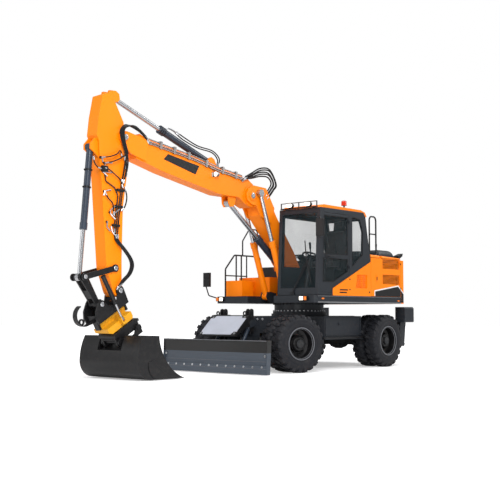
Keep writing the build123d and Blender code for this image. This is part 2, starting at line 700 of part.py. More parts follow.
# Cab shell: hollow, with the window and door openings cut
cab_side = [(cab_front_bottom, cab_floor), (cab_front_top, cab_roof), (-470, cab_roof), (-530, 2950),
            (cab_back, 2085), (cab_back, cab_floor)]
cab_inside = [(cab_front_bottom - 50, cab_floor + 45), (cab_front_top - 48, cab_roof - 45),
              (-440, cab_roof - 45), (-480, 2940), (cab_back + 50, 2085), (cab_back + 50, cab_floor + 45)]
door_outline = [(905, 1455), (840, 2945), (20, 2945), (20, 1800), (545, 1572), (600, 1455)]
door_window_top = [(838, 2170), (806, 2895), (65, 2895), (65, 2170)]
door_window_low = [(842, 2095), (65, 2095), (65, 1860), (540, 1650), (862, 1650)]
quarter_window = [(-75, 2925), (-340, 2895), (-445, 2650), (-425, 2190), (-75, 1960)]
right_window = [(850, 1950), (812, 2900), (-400, 2900), (-520, 2250), (-520, 1950)]
cab_mid = (cab_right + cab_left) / 2
cab_width = cab_left - cab_right
screen = ((345, 1165), (1540, 2935))
rear_screen = ((345, 1165), (2200, 2880))
with BuildPart() as cab_shell:
    slab(cab_side, cab_mid, cab_width)
    slab(cab_inside, cab_mid, cab_width - 2 * cab_wall, mode=Mode.SUBTRACT)
    left_mid = cab_left - cab_wall / 2
    slab(door_outline, left_mid, cab_wall + 20, mode=Mode.SUBTRACT)
    slab(quarter_window, left_mid, cab_wall + 20, mode=Mode.SUBTRACT)
    slab([(560, cab_floor - 5), (560, 1540), (cab_back - 5, 2086), (cab_back - 5, cab_floor - 5)], left_mid,
         cab_wall + 20, mode=Mode.SUBTRACT)
    slab(right_window, cab_right + cab_wall / 2, cab_wall + 20, mode=Mode.SUBTRACT)
    for opening, limits in ((screen, (800, 1100)), (rear_screen, (-760, -450))):
        block(limits, opening[0], opening[1], mode=Mode.SUBTRACT)
    block((-690, 990), (cab_right + 10, cab_left - 60), (deck_top, cab_floor))
    for height in hinge_heights:
        block((-14, door_axis[0]), (cab_left - 2, door_axis[1]), (height - 30, height))
        stretch(Plane(origin=(slew_x + door_axis[0], door_axis[1], height - 30)), 11, 30)
        stretch(Plane(origin=(slew_x + door_axis[0], door_axis[1], height - 10)), 5, 38)
save(cab_shell, "cab_shell")

with BuildPart() as cab_roof_cap:
    slab([(850, cab_roof + 0.3), (800, cab_roof + 62), (-400, cab_roof + 48), (-545, cab_roof + 10),
          (-600, 2960), (-556, 2945), (-484, cab_roof + 0.3)], cab_mid, cab_width - 36)
    fillet(cab_roof_cap.edges().filter_by(Axis.Y).sort_by(Axis.Z)[-2:], 30)
save(cab_roof_cap, "cab_roof")


def inset(points, y, width, gap=0.6):
    """Pane that fits an opening with a small gap all round."""
    with BuildSketch(side(y), mode=Mode.PRIVATE) as sketch:
        with BuildLine():
            Polyline(*points, close=True)
        make_face()
        offset(amount=-gap, kind=Kind.INTERSECTION)
    extrude(sketch.sketch, amount=width / 2, both=True)


with BuildPart() as cab_glass:
    inset(quarter_window, cab_left - 20, 8)
    inset(right_window, cab_right + 20, 8)
    lean = (cab_front_top - cab_front_bottom) / (cab_roof - cab_floor)

    def screen_x(height):
        return cab_front_bottom + lean * (height - cab_floor)

    (y0, y1), (z0, z1) = screen
    middle_y = (y0 + y1) / 2
    for low, high in ((z0 + 0.6, 1984.0), (1990.0, z1 - 0.6)):
        slab([(screen_x(low) - 26, low), (screen_x(low) - 18, low), (screen_x(high) - 18, high),
              (screen_x(high) - 26, high)], middle_y, y1 - y0 - 1.2)
    (y0, y1), (z0, z1) = rear_screen
    slope = (-530.0 - cab_back) / (2950.0 - 2085.0)

    def rear_x(height):
        return cab_back + slope * (height - 2085.0)

    slab([(rear_x(z0) + 18, z0 + 0.6), (rear_x(z0) + 26, z0 + 0.6), (rear_x(z1) + 26, z1 - 0.6),
          (rear_x(z1) + 18, z1 - 0.6)], middle_y, y1 - y0 - 1.2)
save(cab_glass, "cab_glass")

with BuildPart() as cab_door:
    inset(door_outline, cab_left - cab_wall / 2, cab_wall - 5, gap=door_gap)
    slab(door_window_top, cab_left - cab_wall / 2, cab_wall + 20, mode=Mode.SUBTRACT)
    slab(door_window_low, cab_left - cab_wall / 2, cab_wall + 20, mode=Mode.SUBTRACT)
    for height in hinge_heights:
        block((door_axis[0], 58), (cab_left - 6, door_axis[1] + 5), (height + 0.5, height + 30))
        stretch(Plane(origin=(slew_x + door_axis[0], door_axis[1], height + 0.5)), 11, 29.5)
        stretch(Plane(origin=(slew_x + door_axis[0], door_axis[1], height - 1)), 5.5, 33, mode=Mode.SUBTRACT)
save(cab_door, "cab_door")

with BuildPart() as door_glass:
    inset(door_window_top, cab_left - 20, 8)
    inset(door_window_low, cab_left - 20, 8)
save(door_glass, "door_glass")

# Seat with cushion, back and headrest
with BuildPart() as seat:
    block((-270, 250), (510, 1010), (1960, 2080))
    slab([(-270, 2060), (-410, 2690), (-310, 2700), (-155, 2082), (-155, 2060)], 760, 500)
    slab([(-405, 2670), (-428, 2880), (-345, 2890), (-315, 2680)], 760, 270)
save(seat, "seat")

with BuildPart() as controls:
    block((-300, 120), (570, 950), (cab_floor + 45, 1959.7))
    for y in (455.0, 1065.0):
        block((-250, 260), (y - 45, y + 45), (2090, 2200))
        block((-150, 50), (y - 30, y + 30), (1940, 2092))
        stretch(Plane(origin=(slew_x + 200, y, 2195), z_dir=(0.1, 0, 1)), 14, 130)
        block((-200, 80), sorted((y, 760 + (150 if y > 760 else -150))), (1900, 1945))
    stretch(Plane(origin=(slew_x + 760, 760, cab_floor + 54.3), z_dir=(-0.22, 0, 1)), 42, 634)
    stretch(Plane(origin=(slew_x + 620, 760, 2080), z_dir=(-0.45, 0, 1)), 30, 64.1)
    wheel_at = Plane(origin=(slew_x + 592, 760, 2138), z_dir=(-0.45, 0, 1))
    ring_of(wheel_at, 150, 178, 0, 24)
    with BuildSketch(wheel_at):
        Rectangle(330, 30)
        Rectangle(30, 330)
    extrude(amount=14)
save(controls, "controls")

# Lamp bar over the windscreen, beacon and front deck lamps
with BuildPart() as lamps:
    block((935, 975), (330, 1190), (cab_roof + 1, cab_roof + 21))
    block((880, 940), (420, 460), (cab_roof + 0.3, cab_roof + 16))
    block((880, 940), (1060, 1100), (cab_roof + 0.3, cab_roof + 16))
    block((945, 965), (330, 1190), (cab_roof + 108, cab_roof + 120))
    for y in (336.0, 760.0, 1184.0):
        block((945, 965), (y - 6, y + 6), (cab_roof + 15, cab_roof + 112))
    for y in (545.0, 975.0):
        with BuildSketch(front(920)):
            with Locations((y, cab_roof + 67.7)):
                SlotOverall(150, 80)
        extrude(amount=60)
    stretch(Plane(origin=(slew_x - 300, 900, cab_roof + 50.3)), 62, 20)
    stretch(Plane(origin=(slew_x - 300, 900, cab_roof + 60)), 16, 100)
    stretch(Plane(origin=(slew_x - 300, 900, cab_roof + 150)), 50, 90)
    for y in (-1090.0, 980.0):
        reach = deck_front if y < 0 else deck_front - 40
        block((reach, reach + 50), (y - 90, y + 90), (1305, 1385))
save(lamps, "lamps")

# Handrails, mirrors and their stays
with BuildPart() as handrails:
    rail_y = -1150.0
    main = [(917, deck_top + 0.3), (917, 1956), (650, 2246), (-145, 2246), (-145, 2020.3)]
    add(tube_path([(slew_x + x, rail_y, z) for x, z in main], rail_radius, 70))
    for x, foot in ((595.0, tank_top - 70), (440.0, deck_top)):
        stretch(Plane(origin=(slew_x + x, rail_y, foot + 0.3)), 15, 2246 - foot)
    stretch(Plane(origin=(slew_x + 917, rail_y, 1825), z_dir=(-1, 0, 0)), 13, 650)
    stretch(Plane(origin=(slew_x + 277, rail_y, tank_top + 0.3)), 13, 2246 - tank_top)
    upper = [(400, 2240), (400, 2549), (193, 2804), (-60, 2804), (-60, 2240)]
    add(tube_path([(slew_x + x, rail_y, z) for x, z in upper], 14, 60))
    behind = [(-770, hood_top + 0.3), (-770, 2990), (-1000, 2990), (-1000, hood_top + 0.3)]
    add(tube_path([(slew_x + x, 1172, z) for x, z in behind], rail_radius, 80))
    stretch(Plane(origin=(slew_x - 770, 1172, 2640), z_dir=(-1, 0, 0)), 13, 230)
    # Mirrors
    stay = [(1122, -1190, 1370), (1250, -1290, 1420), (1330, -1290, 1600)]
    add(tube_path([(slew_x + x, y, z) for x, y, z in stay], 12, 40))
    block((1305, 1350), (-1350, -1180), (1590, 1870))
    cab_stay = [(942.8, 1235, 2840), (1010, 1300, 2840), (1010, 1300, 2700)]
    add(tube_path([(slew_x + x, y, z) for x, y, z in cab_stay], 12, 40))
    block((990, 1030), (1215, 1385), (2480, 2800))
save(handrails, "handrails")

# Lower boom: box section from the foot boss to the elbow cheeks
lower_box = 150.0
lower_body = [(-30, 1800), (250, 2260), (800, 2940), (1130, 3440), (1250, 3440), (1285, 3300), (1290, 3200),
              (1325, 3110), (1290, 2930), (940, 2575), (700, 2300), (590, 2060), (170, 1650)]
elbow_cheek = [(1000, 2790), (1290, 2900), (1420, 3090), (1560, 3110), (1680, 3180), (1710, 3290),
               (1650, 3400), (1500, 3470), (1150, 3450), (900, 3080)]
with BuildPart() as lower_boom:
    slab(lower_body, boom_y, 2 * lower_box)
    slab([(1040, 2860), (1240, 2960), (1262, 3400), (1150, 3425), (950, 3120)], boom_y, 2 * 170.0)
    cross_disc(foot_pin, 125, boom_y, 2 * lower_half)
    for hand in (1, -1):
        slab(elbow_cheek, boom_y + hand * (lower_half - 15), 30)
        cross_disc(elbow_pin, 92, boom_y + hand * (lower_half + 6), 14)
        slab([(300, 1840), (440, 1880), (545, 1890), (580, 1960), (540, 2030), (440, 2140)],
             boom_y + hand * 90, 30)
    cross_disc(elbow_pin, 45.5, boom_y, 2 * lower_half)
    # Well for the positioning cylinder's tail between its lugs
    slab([(385, 1880), (390, 2020), (426, 2045), (690, 2270), (802, 2363), (900, 2300), (640, 1960),
          (560, 1800)], boom_y, 150, mode=Mode.SUBTRACT)
    cross_disc(position_tail, position_size["pin"], boom_y, 210)
    cross_disc(foot_pin, 50 + pin_fit, boom_y, 2 * lower_half + 2, mode=Mode.SUBTRACT)
save(lower_boom, "lower_boom")

with BuildPart() as lift_barrels:
    for hand in (1, -1):
        barrel(lift_tail, lift_head, boom_y + hand * lift_offset, lift_size)
save(lift_barrels, "lift_barrels")

with BuildPart() as lift_rods:
    for hand in (1, -1):
        rod(lift_tail, lift_head, boom_y + hand * lift_offset, lift_size)
save(lift_rods, "lift_rods")

# Upper boom: tapered box from the elbow eye to the arm's fork
upper_body = [(1650, 3600), (1480, 3500), (1380, 3430), (1325, 3315), (1330, 3200), (1420, 3080),
              (1540, 3050), (1700, 3110), (1860, 3220), (2380, 3225), (3770, 3475), (4400, 3625),
              (4440, 3720), (4430, 3950), (4330, 4050), (4180, 3985), (3070, 3825), (2414, 3700)]
arm_fork = [(4150, 3960), (4620, 4045), (4720, 4045), (4785, 3975), (4785, 3905), (4720, 3835),
            (4540, 3690), (4200, 3600)]
with BuildPart() as upper_boom:
    slab(upper_body, boom_y, 2 * upper_half - 30)
    cross_disc(elbow_pin, 200, boom_y, 2 * upper_half)
    cross_disc(elbow_pin, 46, boom_y, 2 * upper_half + 2, mode=Mode.SUBTRACT)
    for hand in (1, -1):
        slab(arm_fork, boom_y + hand * (arm_half + 20), 26)
        cross_disc(arm_pin, 70, boom_y + hand * (arm_half + 38), 14)
        slab([(1900, 3240), (1920, 3120), (1960, 3040), (2040, 3030), (2085, 3090), (2100, 3240)],
             boom_y + hand * 80, 30)
        slab([(2400, 3690), (2490, 3850), (2560, 3885), (2630, 3860), (2690, 3740)],
             boom_y + hand * 87, 24)
    slab([(4190, 3950), (4320, 4030), (4415, 3940), (4425, 3725), (4390, 3640), (4230, 3620)], boom_y,
         2 * (arm_half + 10))
    cross_disc(arm_pin, 42.5, boom_y, 2 * (arm_half + 20))
    cross_disc(arm_cyl_tail, arm_size["pin"], boom_y, 198)
save(upper_boom, "upper_boom")

# Steel lines along the upper boom with their clamps, and its work lamp
boom_face = boom_y + upper_half - 15
boom_edge = [(1760.0, 3614.4), (2414.0, 3700.0), (3070.0, 3825.0), (4110.0, 3974.9)]
boom_line_table = [
    # height over the boom's edge, distance from its face
    (-34.0, 17.0),
    (-66.0, 17.0),
    (20.0, -16.0),
]
boom_clamps = [(0, 200.0), (0, 560.0), (1, 330.0), (2, 120.0), (2, 470.0), (2, 800.0)]
with BuildPart() as boom_lines:
    for rise, out in boom_line_table:
        add(tube_path([(slew_x + x, boom_face + out, z + rise) for x, z in boom_edge], line_radius, line_bend))
    for index, distance in boom_clamps:
        ux, uz, _ = direction(boom_edge[index], boom_edge[index + 1])
        foot = (boom_edge[index][0] + ux * distance, boom_edge[index][1] + uz * distance)
        corners = [(foot[0] + ux * a - uz * b, foot[1] + uz * a + ux * b)
                   for a, b in ((-24, -88), (24, -88), (24, 42), (-24, 42))]
        slab(corners, boom_face + seat_gap + 15, 30)
        ledge = [(foot[0] + ux * a - uz * b, foot[1] + uz * a + ux * b)
                 for a, b in ((-24, seat_gap), (24, seat_gap), (24, 42), (-24, 42))]
        slab(ledge, boom_face - 14, 60)
    # Elbow fittings at the arm's end
    for rise, out in boom_line_table[:2]:
        stretch(Plane(origin=(slew_x + 4090, boom_face + out, 3969 + rise), z_dir=(0.99, 0, 0.14)), 17, 46)
    # Work lamp on its bracket
    block((2520, 2600), (boom_face + seat_gap, boom_face + 8), (3520, 3600))
    block((2500, 2560), (boom_face + seat_gap, boom_face + 40), (3560, 3574))
    stretch(Plane(origin=(slew_x + 2500, boom_face + 58, 3567), z_dir=(1, 0, 0)), 46, 52)
save(boom_lines, "boom_lines")

with BuildPart() as position_barrel:
    barrel(position_tail, position_head, boom_y, position_size)
save(position_barrel, "position_barrel")

with BuildPart() as position_rod:
    rod(position_tail, position_head, boom_y, position_size)
save(position_rod, "position_rod")

# Arm: box with an open fork at the top, the bucket cylinder lugs and the tip boss
arm_body = [(4887, 4540), (4940, 4655), (5127, 4575), (5203, 4205), (5237, 3915), (5190, 3810),
            (5180, 3640), (5165, 3550), (5060, 2360), (5010, 1790), (4860, 1400), (4720, 1400),
            (4690, 1605), (4695, 1955), (4678, 2785), (4602, 3300), (4596, 3645), (4682, 4195)]
with BuildPart() as arm:
    slab(arm_body, boom_y, 2 * arm_half)
    cross_disc(arm_pin, 98, boom_y, 2 * arm_half)
    cross_disc(tool_pin, 105, boom_y, 2 * arm_half)
    cross_disc(arm_pin, 43, boom_y, 2 * arm_half + 2, mode=Mode.SUBTRACT)
    cross_disc(tool_pin, 43, boom_y, 2 * arm_half + 2, mode=Mode.SUBTRACT)
    cross_disc(rocker_pin, 38.5, boom_y, 2 * arm_half + 2, mode=Mode.SUBTRACT)
    for hand in (1, -1):
        slab([(4745, 4560), (4760, 4650), (4830, 4690), (4960, 4680), (5000, 4450), (4880, 4500), (4790, 4510)],
             boom_y + hand * 80, 50)
        slab([(5120, 3880), (5250, 3860), (5335, 3760), (5335, 3680), (5270, 3640), (5120, 3520)],
             boom_y + hand * 76, 24)
    cross_disc(bucket_cyl_tail, bucket_size["pin"], boom_y, 176)
    # Open fork for the cylinder's eye
    cross_disc((4862, 4600), 190, boom_y, 110, mode=Mode.SUBTRACT)
save(arm, "arm")

# Steel lines down the arm's side with their clamps and the valve block
arm_face = boom_y + arm_half
arm_line_table = [
    # route down the arm: x, z
    [(4690.0, 3190.0), (4722.0, 2900.0), (4772.0, 2640.0), (4800.0, 2330.0)],
    [(4728.0, 3190.0), (4760.0, 2900.0), (4810.0, 2640.0), (4838.0, 2330.0)],
    [(5090.0, 3360.0), (5060.0, 3180.0), (4870.0, 3090.0), (4800.0, 2960.0), (4840.0, 2700.0),
     (4874.0, 2420.0)],
]
arm_clamps = [(4745.0, 3060.0), (4782.0, 2790.0), (4838.0, 2480.0)]
arm_bosses = [(5083.0, 3468.0), (5163.0, 3551.0), (5082.0, 3009.0), (4960.0, 2684.0), (5020.0, 2524.0)]
with BuildPart() as arm_lines:
    for route in arm_line_table:
        add(tube_path([(slew_x + x, arm_face + 17, z) for x, z in route], line_radius, line_bend / 2))
    for x, z in arm_clamps:
        slab([(x - 80, z - 20), (x + 80, z - 20), (x + 80, z + 20), (x - 80, z + 20)],
             arm_face + seat_gap + 15, 30)
    block((5030, 5150), (arm_face + seat_gap, arm_face + 46), (3330, 3420))
    for x, z in arm_bosses:
        cross_disc((x, z), 22, arm_face + seat_gap + 8, 16)
save(arm_lines, "arm_lines")

with BuildPart() as arm_barrel:
    barrel(arm_cyl_tail, arm_cyl_head, boom_y, arm_size)
save(arm_barrel, "arm_barrel")

with BuildPart() as arm_rod:
    rod(arm_cyl_tail, arm_cyl_head, boom_y, arm_size)
save(arm_rod, "arm_rod")

with BuildPart() as bucket_barrel:
    barrel(bucket_cyl_tail, rod_pin, boom_y, bucket_size)
save(bucket_barrel, "bucket_barrel")

with BuildPart() as bucket_rod:
    rod(bucket_cyl_tail, rod_pin, boom_y, bucket_size)
save(bucket_rod, "bucket_rod")

# Bucket linkage: rockers on the arm, and the link down to the coupler
rocker_y = 145.0
pitch = math.radians(tool_pitch)
coupler_pin = (tool_pin[0] + coupler_span * math.cos(pitch), tool_pin[1] - coupler_span * math.sin(pitch))
with BuildPart() as rockers:
    for hand in (1, -1):
        link_bar(rocker_pin, rod_pin, boom_y + hand * rocker_y, 24, 60, 45)
        cross_disc(rod_pin, 36, boom_y + hand * rocker_y, 26, mode=Mode.SUBTRACT)
    cross_disc(rocker_pin, 37.5, boom_y, 2 * rocker_y)
save(rockers, "rockers")

with BuildPart() as bucket_link:
    for hand in (1, -1):
        link_bar(rod_pin, coupler_pin, boom_y + hand * 66, 30, 58, 42)
        cross_disc(rod_pin, 35, boom_y + hand * 112, 94)
    ux, uz, run = direction(rod_pin, coupler_pin)
    slab([(rod_pin[0] + ux * a + uz * b, rod_pin[1] + uz * a - ux * b)
          for a, b in ((240, -38), (400, -38), (400, 38), (240, 38))], boom_y, 140)
    cross_disc(coupler_pin, 52, boom_y, 220)
save(bucket_link, "bucket_link")

# Tool frame: x runs from the tool pin to the link pin, z square to it and up
tool_x = (math.cos(pitch), 0, -math.sin(pitch))
tool_z = (math.sin(pitch), 0, math.cos(pitch))


def tool_point(x, y, z):
    """World point of a place given in the tool frame."""
    return (slew_x + tool_pin[0] + x * tool_x[0] + z * tool_z[0], boom_y + y,
            tool_pin[1] + x * tool_x[2] + z * tool_z[2])


def tool_block(x, y, z, mode=Mode.ADD):
    """Box in the tool frame between two limits on each axis."""
    plane = Plane(origin=tool_point(0, 0, z[0]), x_dir=tool_x, z_dir=tool_z)
    with BuildSketch(plane, mode=Mode.PRIVATE) as sketch:
        with Locations(((x[0] + x[1]) / 2, (y[0] + y[1]) / 2)):
            Rectangle(x[1] - x[0], y[1] - y[0])
    extrude(sketch.sketch, amount=z[1] - z[0], mode=mode)


def tool_slab(points, y, width, mode=Mode.ADD):
    """Plate in the tool frame's side view, centred on y."""
    plane = Plane(origin=tool_point(0, y, 0), x_dir=tool_x, z_dir=(0, -1, 0))
    extrude(face_of(plane, points), amount=width / 2, both=True, mode=mode)


def tool_bar(start, radius, length, axis, mode=Mode.ADD):
    """Round bar in the tool frame along its x or z."""
    stretch(Plane(origin=tool_point(*start), z_dir=tool_x if axis == "x" else tool_z), radius, length, mode)


tilt_y = 215.0
tilt_x = 235.0
tilt_lug = 35.0
tilt_bore = 20.0
axle_end = 60.0
hanger_rear = -70.0
hanger_front = 560.0
hanger = 40.0
guard_at = (735.0, -30.0)
guard_radius = 175.0
guard_wall = 18.0
guard_ring = (819.0, -101.0)
tilt_z = -340.0
base_low = -250.0
base_high = -215.0
side_y = 150.0
with BuildPart() as coupler:
    for hand in (1, -1):
        tool_slab([(-60, base_low), (-78, -20), (78, -30), (150, -120), (330, -90), (390, 50), (440, 78),
                   (490, 50), (600, -40), (650, -140), (640, base_low)], hand * side_y, 30)
        cross_disc(tool_pin, 78, boom_y + hand * side_y, 30)
        cross_disc(tool_pin, 44, boom_y + hand * (side_y + 18), 12)
        cross_disc(coupler_pin, 42, boom_y + hand * (side_y + 16), 10)
    tool_block((hanger_rear + 10, hanger_front + hanger), (-side_y - 10, side_y + 10), (base_low, base_high))
    for start in (hanger_rear, hanger_front):
        tool_slab([(start, base_high), (start + hanger, base_high), (start + hanger, tilt_z - 50),
                   (start, tilt_z - 50)], 0, 110)
        tool_block((start, start + hanger), (-side_y, side_y), (base_low, base_high))
    tool_bar((hanger_rear, 0, tilt_z), 29.5, hanger_front + hanger - hanger_rear, "x")
    cross_disc(tool_pin, 42, boom_y, 2 * side_y)
    for hand in (1, -1):
        tool_block((tilt_x - tilt_lug, tilt_x + tilt_lug), sorted((hand * 130.0, hand * 195.0)), (-130, -40))
    tool_block((590, 606), (-side_y, side_y), (base_low, -120))
    # Curved guard over the front end, with the lifting ring at its lower end
    with BuildSketch(Plane(origin=tool_point(guard_at[0], 0, guard_at[1]), x_dir=tool_x, z_dir=(0, -1, 0)),
                     mode=Mode.PRIVATE) as guard:
        Circle(guard_radius)
        Circle(guard_radius - guard_wall, mode=Mode.SUBTRACT)
        with Locations((-guard_radius / 2 - 20, 0)):
            Rectangle(guard_radius + 40, 3 * guard_radius, mode=Mode.SUBTRACT)
    extrude(guard.sketch, amount=45, both=True)
    tool_slab([(600, -232), (745, -205), (745, -187), (600, -192)], 0, 90)
    with BuildSketch(Plane(origin=tool_point(guard_ring[0], 0, guard_ring[1]), x_dir=tool_x, z_dir=(0, -1, 0)),
                     mode=Mode.PRIVATE) as ring:
        Circle(52)
        Circle(30, mode=Mode.SUBTRACT)
    extrude(ring.sketch, amount=14, both=True)
save(coupler, "coupler")

with BuildPart() as tilt_barrels:
    for hand in (1, -1):
        tool_bar((tilt_x, hand * tilt_y, -110), 36, 510, "z")
        tool_bar((tilt_x, hand * tilt_y, -110), 42, 50, "z")
        tool_bar((tilt_x, hand * tilt_y, 375), 41, 25, "z")
        tool_bar((tilt_x, hand * tilt_y, -111), tilt_bore, 400, "z", mode=Mode.SUBTRACT)
        tool_block((tilt_x - tilt_lug - 1, tilt_x + tilt_lug + 1), sorted((hand * 120.0, hand * 195.0)),
                   (-131, -39), mode=Mode.SUBTRACT)
save(tilt_barrels, "tilt_barrels")

for hand, name in ((1, "tilt_rod_left"), (-1, "tilt_rod_right")):
    with BuildPart() as tilt_rod:
        tool_bar((tilt_x, hand * tilt_y, tilt_z - 40), 19, 420, "z")
        tool_block((tilt_x - 18, tilt_x + 18), (hand * tilt_y - 26, hand * tilt_y + 26),
                   (tilt_z - 72, tilt_z - 20))
    save(tilt_rod, name)

# Tilting frame with the rotor housing
with BuildPart() as tilt_frame:
    bearing_rear = hanger_rear + hanger + 5.0
    bearing_front = hanger_front - 5.0
    tool_bar((bearing_rear, 0, tilt_z), 48, bearing_front - bearing_rear, "x")
    tool_block((bearing_rear + 5, bearing_front - 5), (-40, 40), (-420, tilt_z))
    tool_slab([(bearing_rear + 5, -400), (bearing_front - 5, -400), (bearing_front - 5, -470), (bearing_front - 70, -520),
               (bearing_rear + 30, -520), (bearing_rear + 5, -480)], 0, 340)
    for hand in (1, -1):
        for x in (tilt_x - 40, tilt_x + 24):
            tool_block((x, x + 16), sorted((hand * 150.0, hand * 250.0)), (-440, tilt_z - 8))
        tool_block((tilt_x - 40, tilt_x + 40), sorted((hand * 150.0, hand * 250.0)), (-470, -438))
    tool_bar((bearing_rear - 1, 0, tilt_z), 30.5, bearing_front - bearing_rear + 2, "x", mode=Mode.SUBTRACT)
save(tilt_frame, "tilt_frame")

rotor_x = 220.0
pin_low = 5.0
pin_high = 435.0
pin_z = -700.0
with BuildPart() as rotator:
    tool_bar((rotor_x, 0, -600), 205, 79, "z")
    tool_block((pin_low - 55, pin_high + 55), (-180, 180), (-655, -600))
    tool_slab([(pin_low - 75, -600), (pin_low - 75, -560), (pin_low - 30, -532), (pin_high + 40, -532),
               (pin_high + 70, -560), (pin_high + 70, -600)], 0, 410)
    for x in (pin_low, pin_high):
        tool_slab([(x - 62, -612), (x + 62, -612), (x + 55, -640), (x - 55, -640)], 0, 356)
    for hand in (1, -1):
        tool_slab([(pin_low - 60, -610), (pin_high + 60, -610), (pin_high + 60, -760), (pin_high - 30, -760),
                   (pin_high - 60, -700), (pin_low + 60, -700), (pin_low + 30, -760), (pin_low - 60, -760)],
                  hand * 160, 36)
    for x in (pin_low, pin_high):
        plane = Plane(origin=tool_point(x, 0, pin_z), x_dir=tool_x, z_dir=(0, -1, 0))
        with BuildSketch(plane, mode=Mode.PRIVATE) as bore_sketch:
            Circle(30.3)
        extrude(bore_sketch.sketch, amount=200, both=True, mode=Mode.SUBTRACT)
save(rotator, "rotator")

# Wide grading bucket with its ears and hanger pins
bucket_half = 720.0
bucket_wall = 20.0
recess_half = 290.0
lip = (3870.0, 15.0)


def bucket_outline(shift):
    """Side outline of the bucket's shell, moved inward by a shift."""
    with BuildSketch(side(boom_y), mode=Mode.PRIVATE) as outline:
        with BuildLine():
            Line((3600, lip[1] + shift), (4560, lip[1] + shift))
            ThreePointArc((4560, lip[1] + shift), (4785 - shift, 105 + shift), (4858 - shift, 300))
            ThreePointArc((4858 - shift, 300), (4832 - shift, 500), (4748 - shift, 706 - shift))
            Line((4748 - shift, 706 - shift), (4426 - 2 * shift, 698 - shift))
            Line((4426 - 2 * shift, 698 - shift), (3600, 698 - shift))
            Line((3600, 698 - shift), (3600, lip[1] + shift))
        make_face()
    return outline.sketch


def bucket_mouth(back, y, width, mode=Mode.SUBTRACT):
    """Space in front of the side plates' curved edge."""
    with BuildSketch(side(y), mode=Mode.PRIVATE) as mouth:
        with BuildLine():
            Line((3500, -60), (lip[0] - 60 + back, -60))
            Line((lip[0] - 60 + back, -60), (lip[0] + back, lip[1] + 12))
            ThreePointArc((lip[0] + back, lip[1] + 12), (4215 + back, 265), (4410 + back, 720))
            Line((4410 + back, 720), (3500, 720))
            Line((3500, 720), (3500, -60))
        make_face()
    extrude(mouth.sketch, amount=width / 2, both=True, mode=mode)


def ear_disc(x, radius, y, width):
    """Disc about one of the bucket's hanger pins."""
    plane = Plane(origin=tool_point(x, y, pin_z), x_dir=tool_x, z_dir=(0, -1, 0))
    with BuildSketch(plane, mode=Mode.PRIVATE) as disc:
        Circle(radius)
    extrude(disc.sketch, amount=width / 2, both=True)


recess_face = [(4426, 702), (4800, 474)]
with BuildPart() as bucket:
    extrude(bucket_outline(0), amount=bucket_half, both=True)
    extrude(bucket_outline(bucket_wall), amount=bucket_half - bucket_wall, both=True, mode=Mode.SUBTRACT)
    # Recess for the coupler in the middle of the back, closed by its own plates
    recess = recess_face + [(4900, 474), (4900, 800), (4426, 800)]
    slab(recess, boom_y, 2 * recess_half, mode=Mode.SUBTRACT)
    slab(recess_face + [(4842, 448), (4785, 455), (4400, 688)], boom_y, 2 * recess_half)
    for hand in (1, -1):
        slab([(4426, 697), (4748, 705), (4810, 550), (4800, 474), (4780, 462)],
             boom_y + hand * (recess_half + 4), 20)
    bucket_mouth(0, boom_y, 2 * bucket_half + 200)
    # Cutting lip, cross tube along the top edge, and wear plates on the side edges
    slab([(lip[0] - 20, lip[1]), (4060, lip[1]), (4060, lip[1] + 32), (lip[0] + 30, lip[1] + 22)], boom_y,
         2 * bucket_half)
    block((4404, 4452), (boom_y - bucket_half, boom_y + bucket_half), (672, 706))
    for hand in (1, -1):
        with BuildSketch(side(boom_y + hand * (bucket_half + 5)), mode=Mode.PRIVATE) as wear:
            with BuildLine():
                Line((lip[0] - 20, lip[1]), (4400, lip[1]))
                ThreePointArc((4400, lip[1]), (4585, 95), (4630, 290))
                Line((4630, 290), (4520, 320))
                ThreePointArc((4520, 320), (4300, 130), (lip[0] - 20, lip[1] + 10))
                Line((lip[0] - 20, lip[1] + 10), (lip[0] - 20, lip[1]))
            make_face()
        extrude(wear.sketch, amount=6, both=True)
    for hand in (1, -1):
        tool_slab([(pin_low - 45, -800), (pin_low - 45, -660), (pin_low + 45, -660), (pin_low + 120, -740),
                   (pin_high - 120, -740), (pin_high - 45, -660), (pin_high + 45, -660), (pin_high + 45, -800)],
                  hand * 205, 26)
        for x in (pin_low, pin_high):
            ear_disc(x, 62, hand * 205, 26)
            ear_disc(x, 44, hand * 222, 12)
    for x in (pin_low, pin_high):
        plane = Plane(origin=tool_point(x, 0, pin_z), x_dir=tool_x, z_dir=(0, -1, 0))
        with BuildSketch(plane, mode=Mode.PRIVATE) as pin_sketch:
            Circle(30)
        extrude(pin_sketch.sketch, amount=218, both=True)
save(bucket, "bucket")
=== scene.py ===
import json
import math
from collections import defaultdict

import bmesh
import bpy
from mathutils import Matrix, Vector


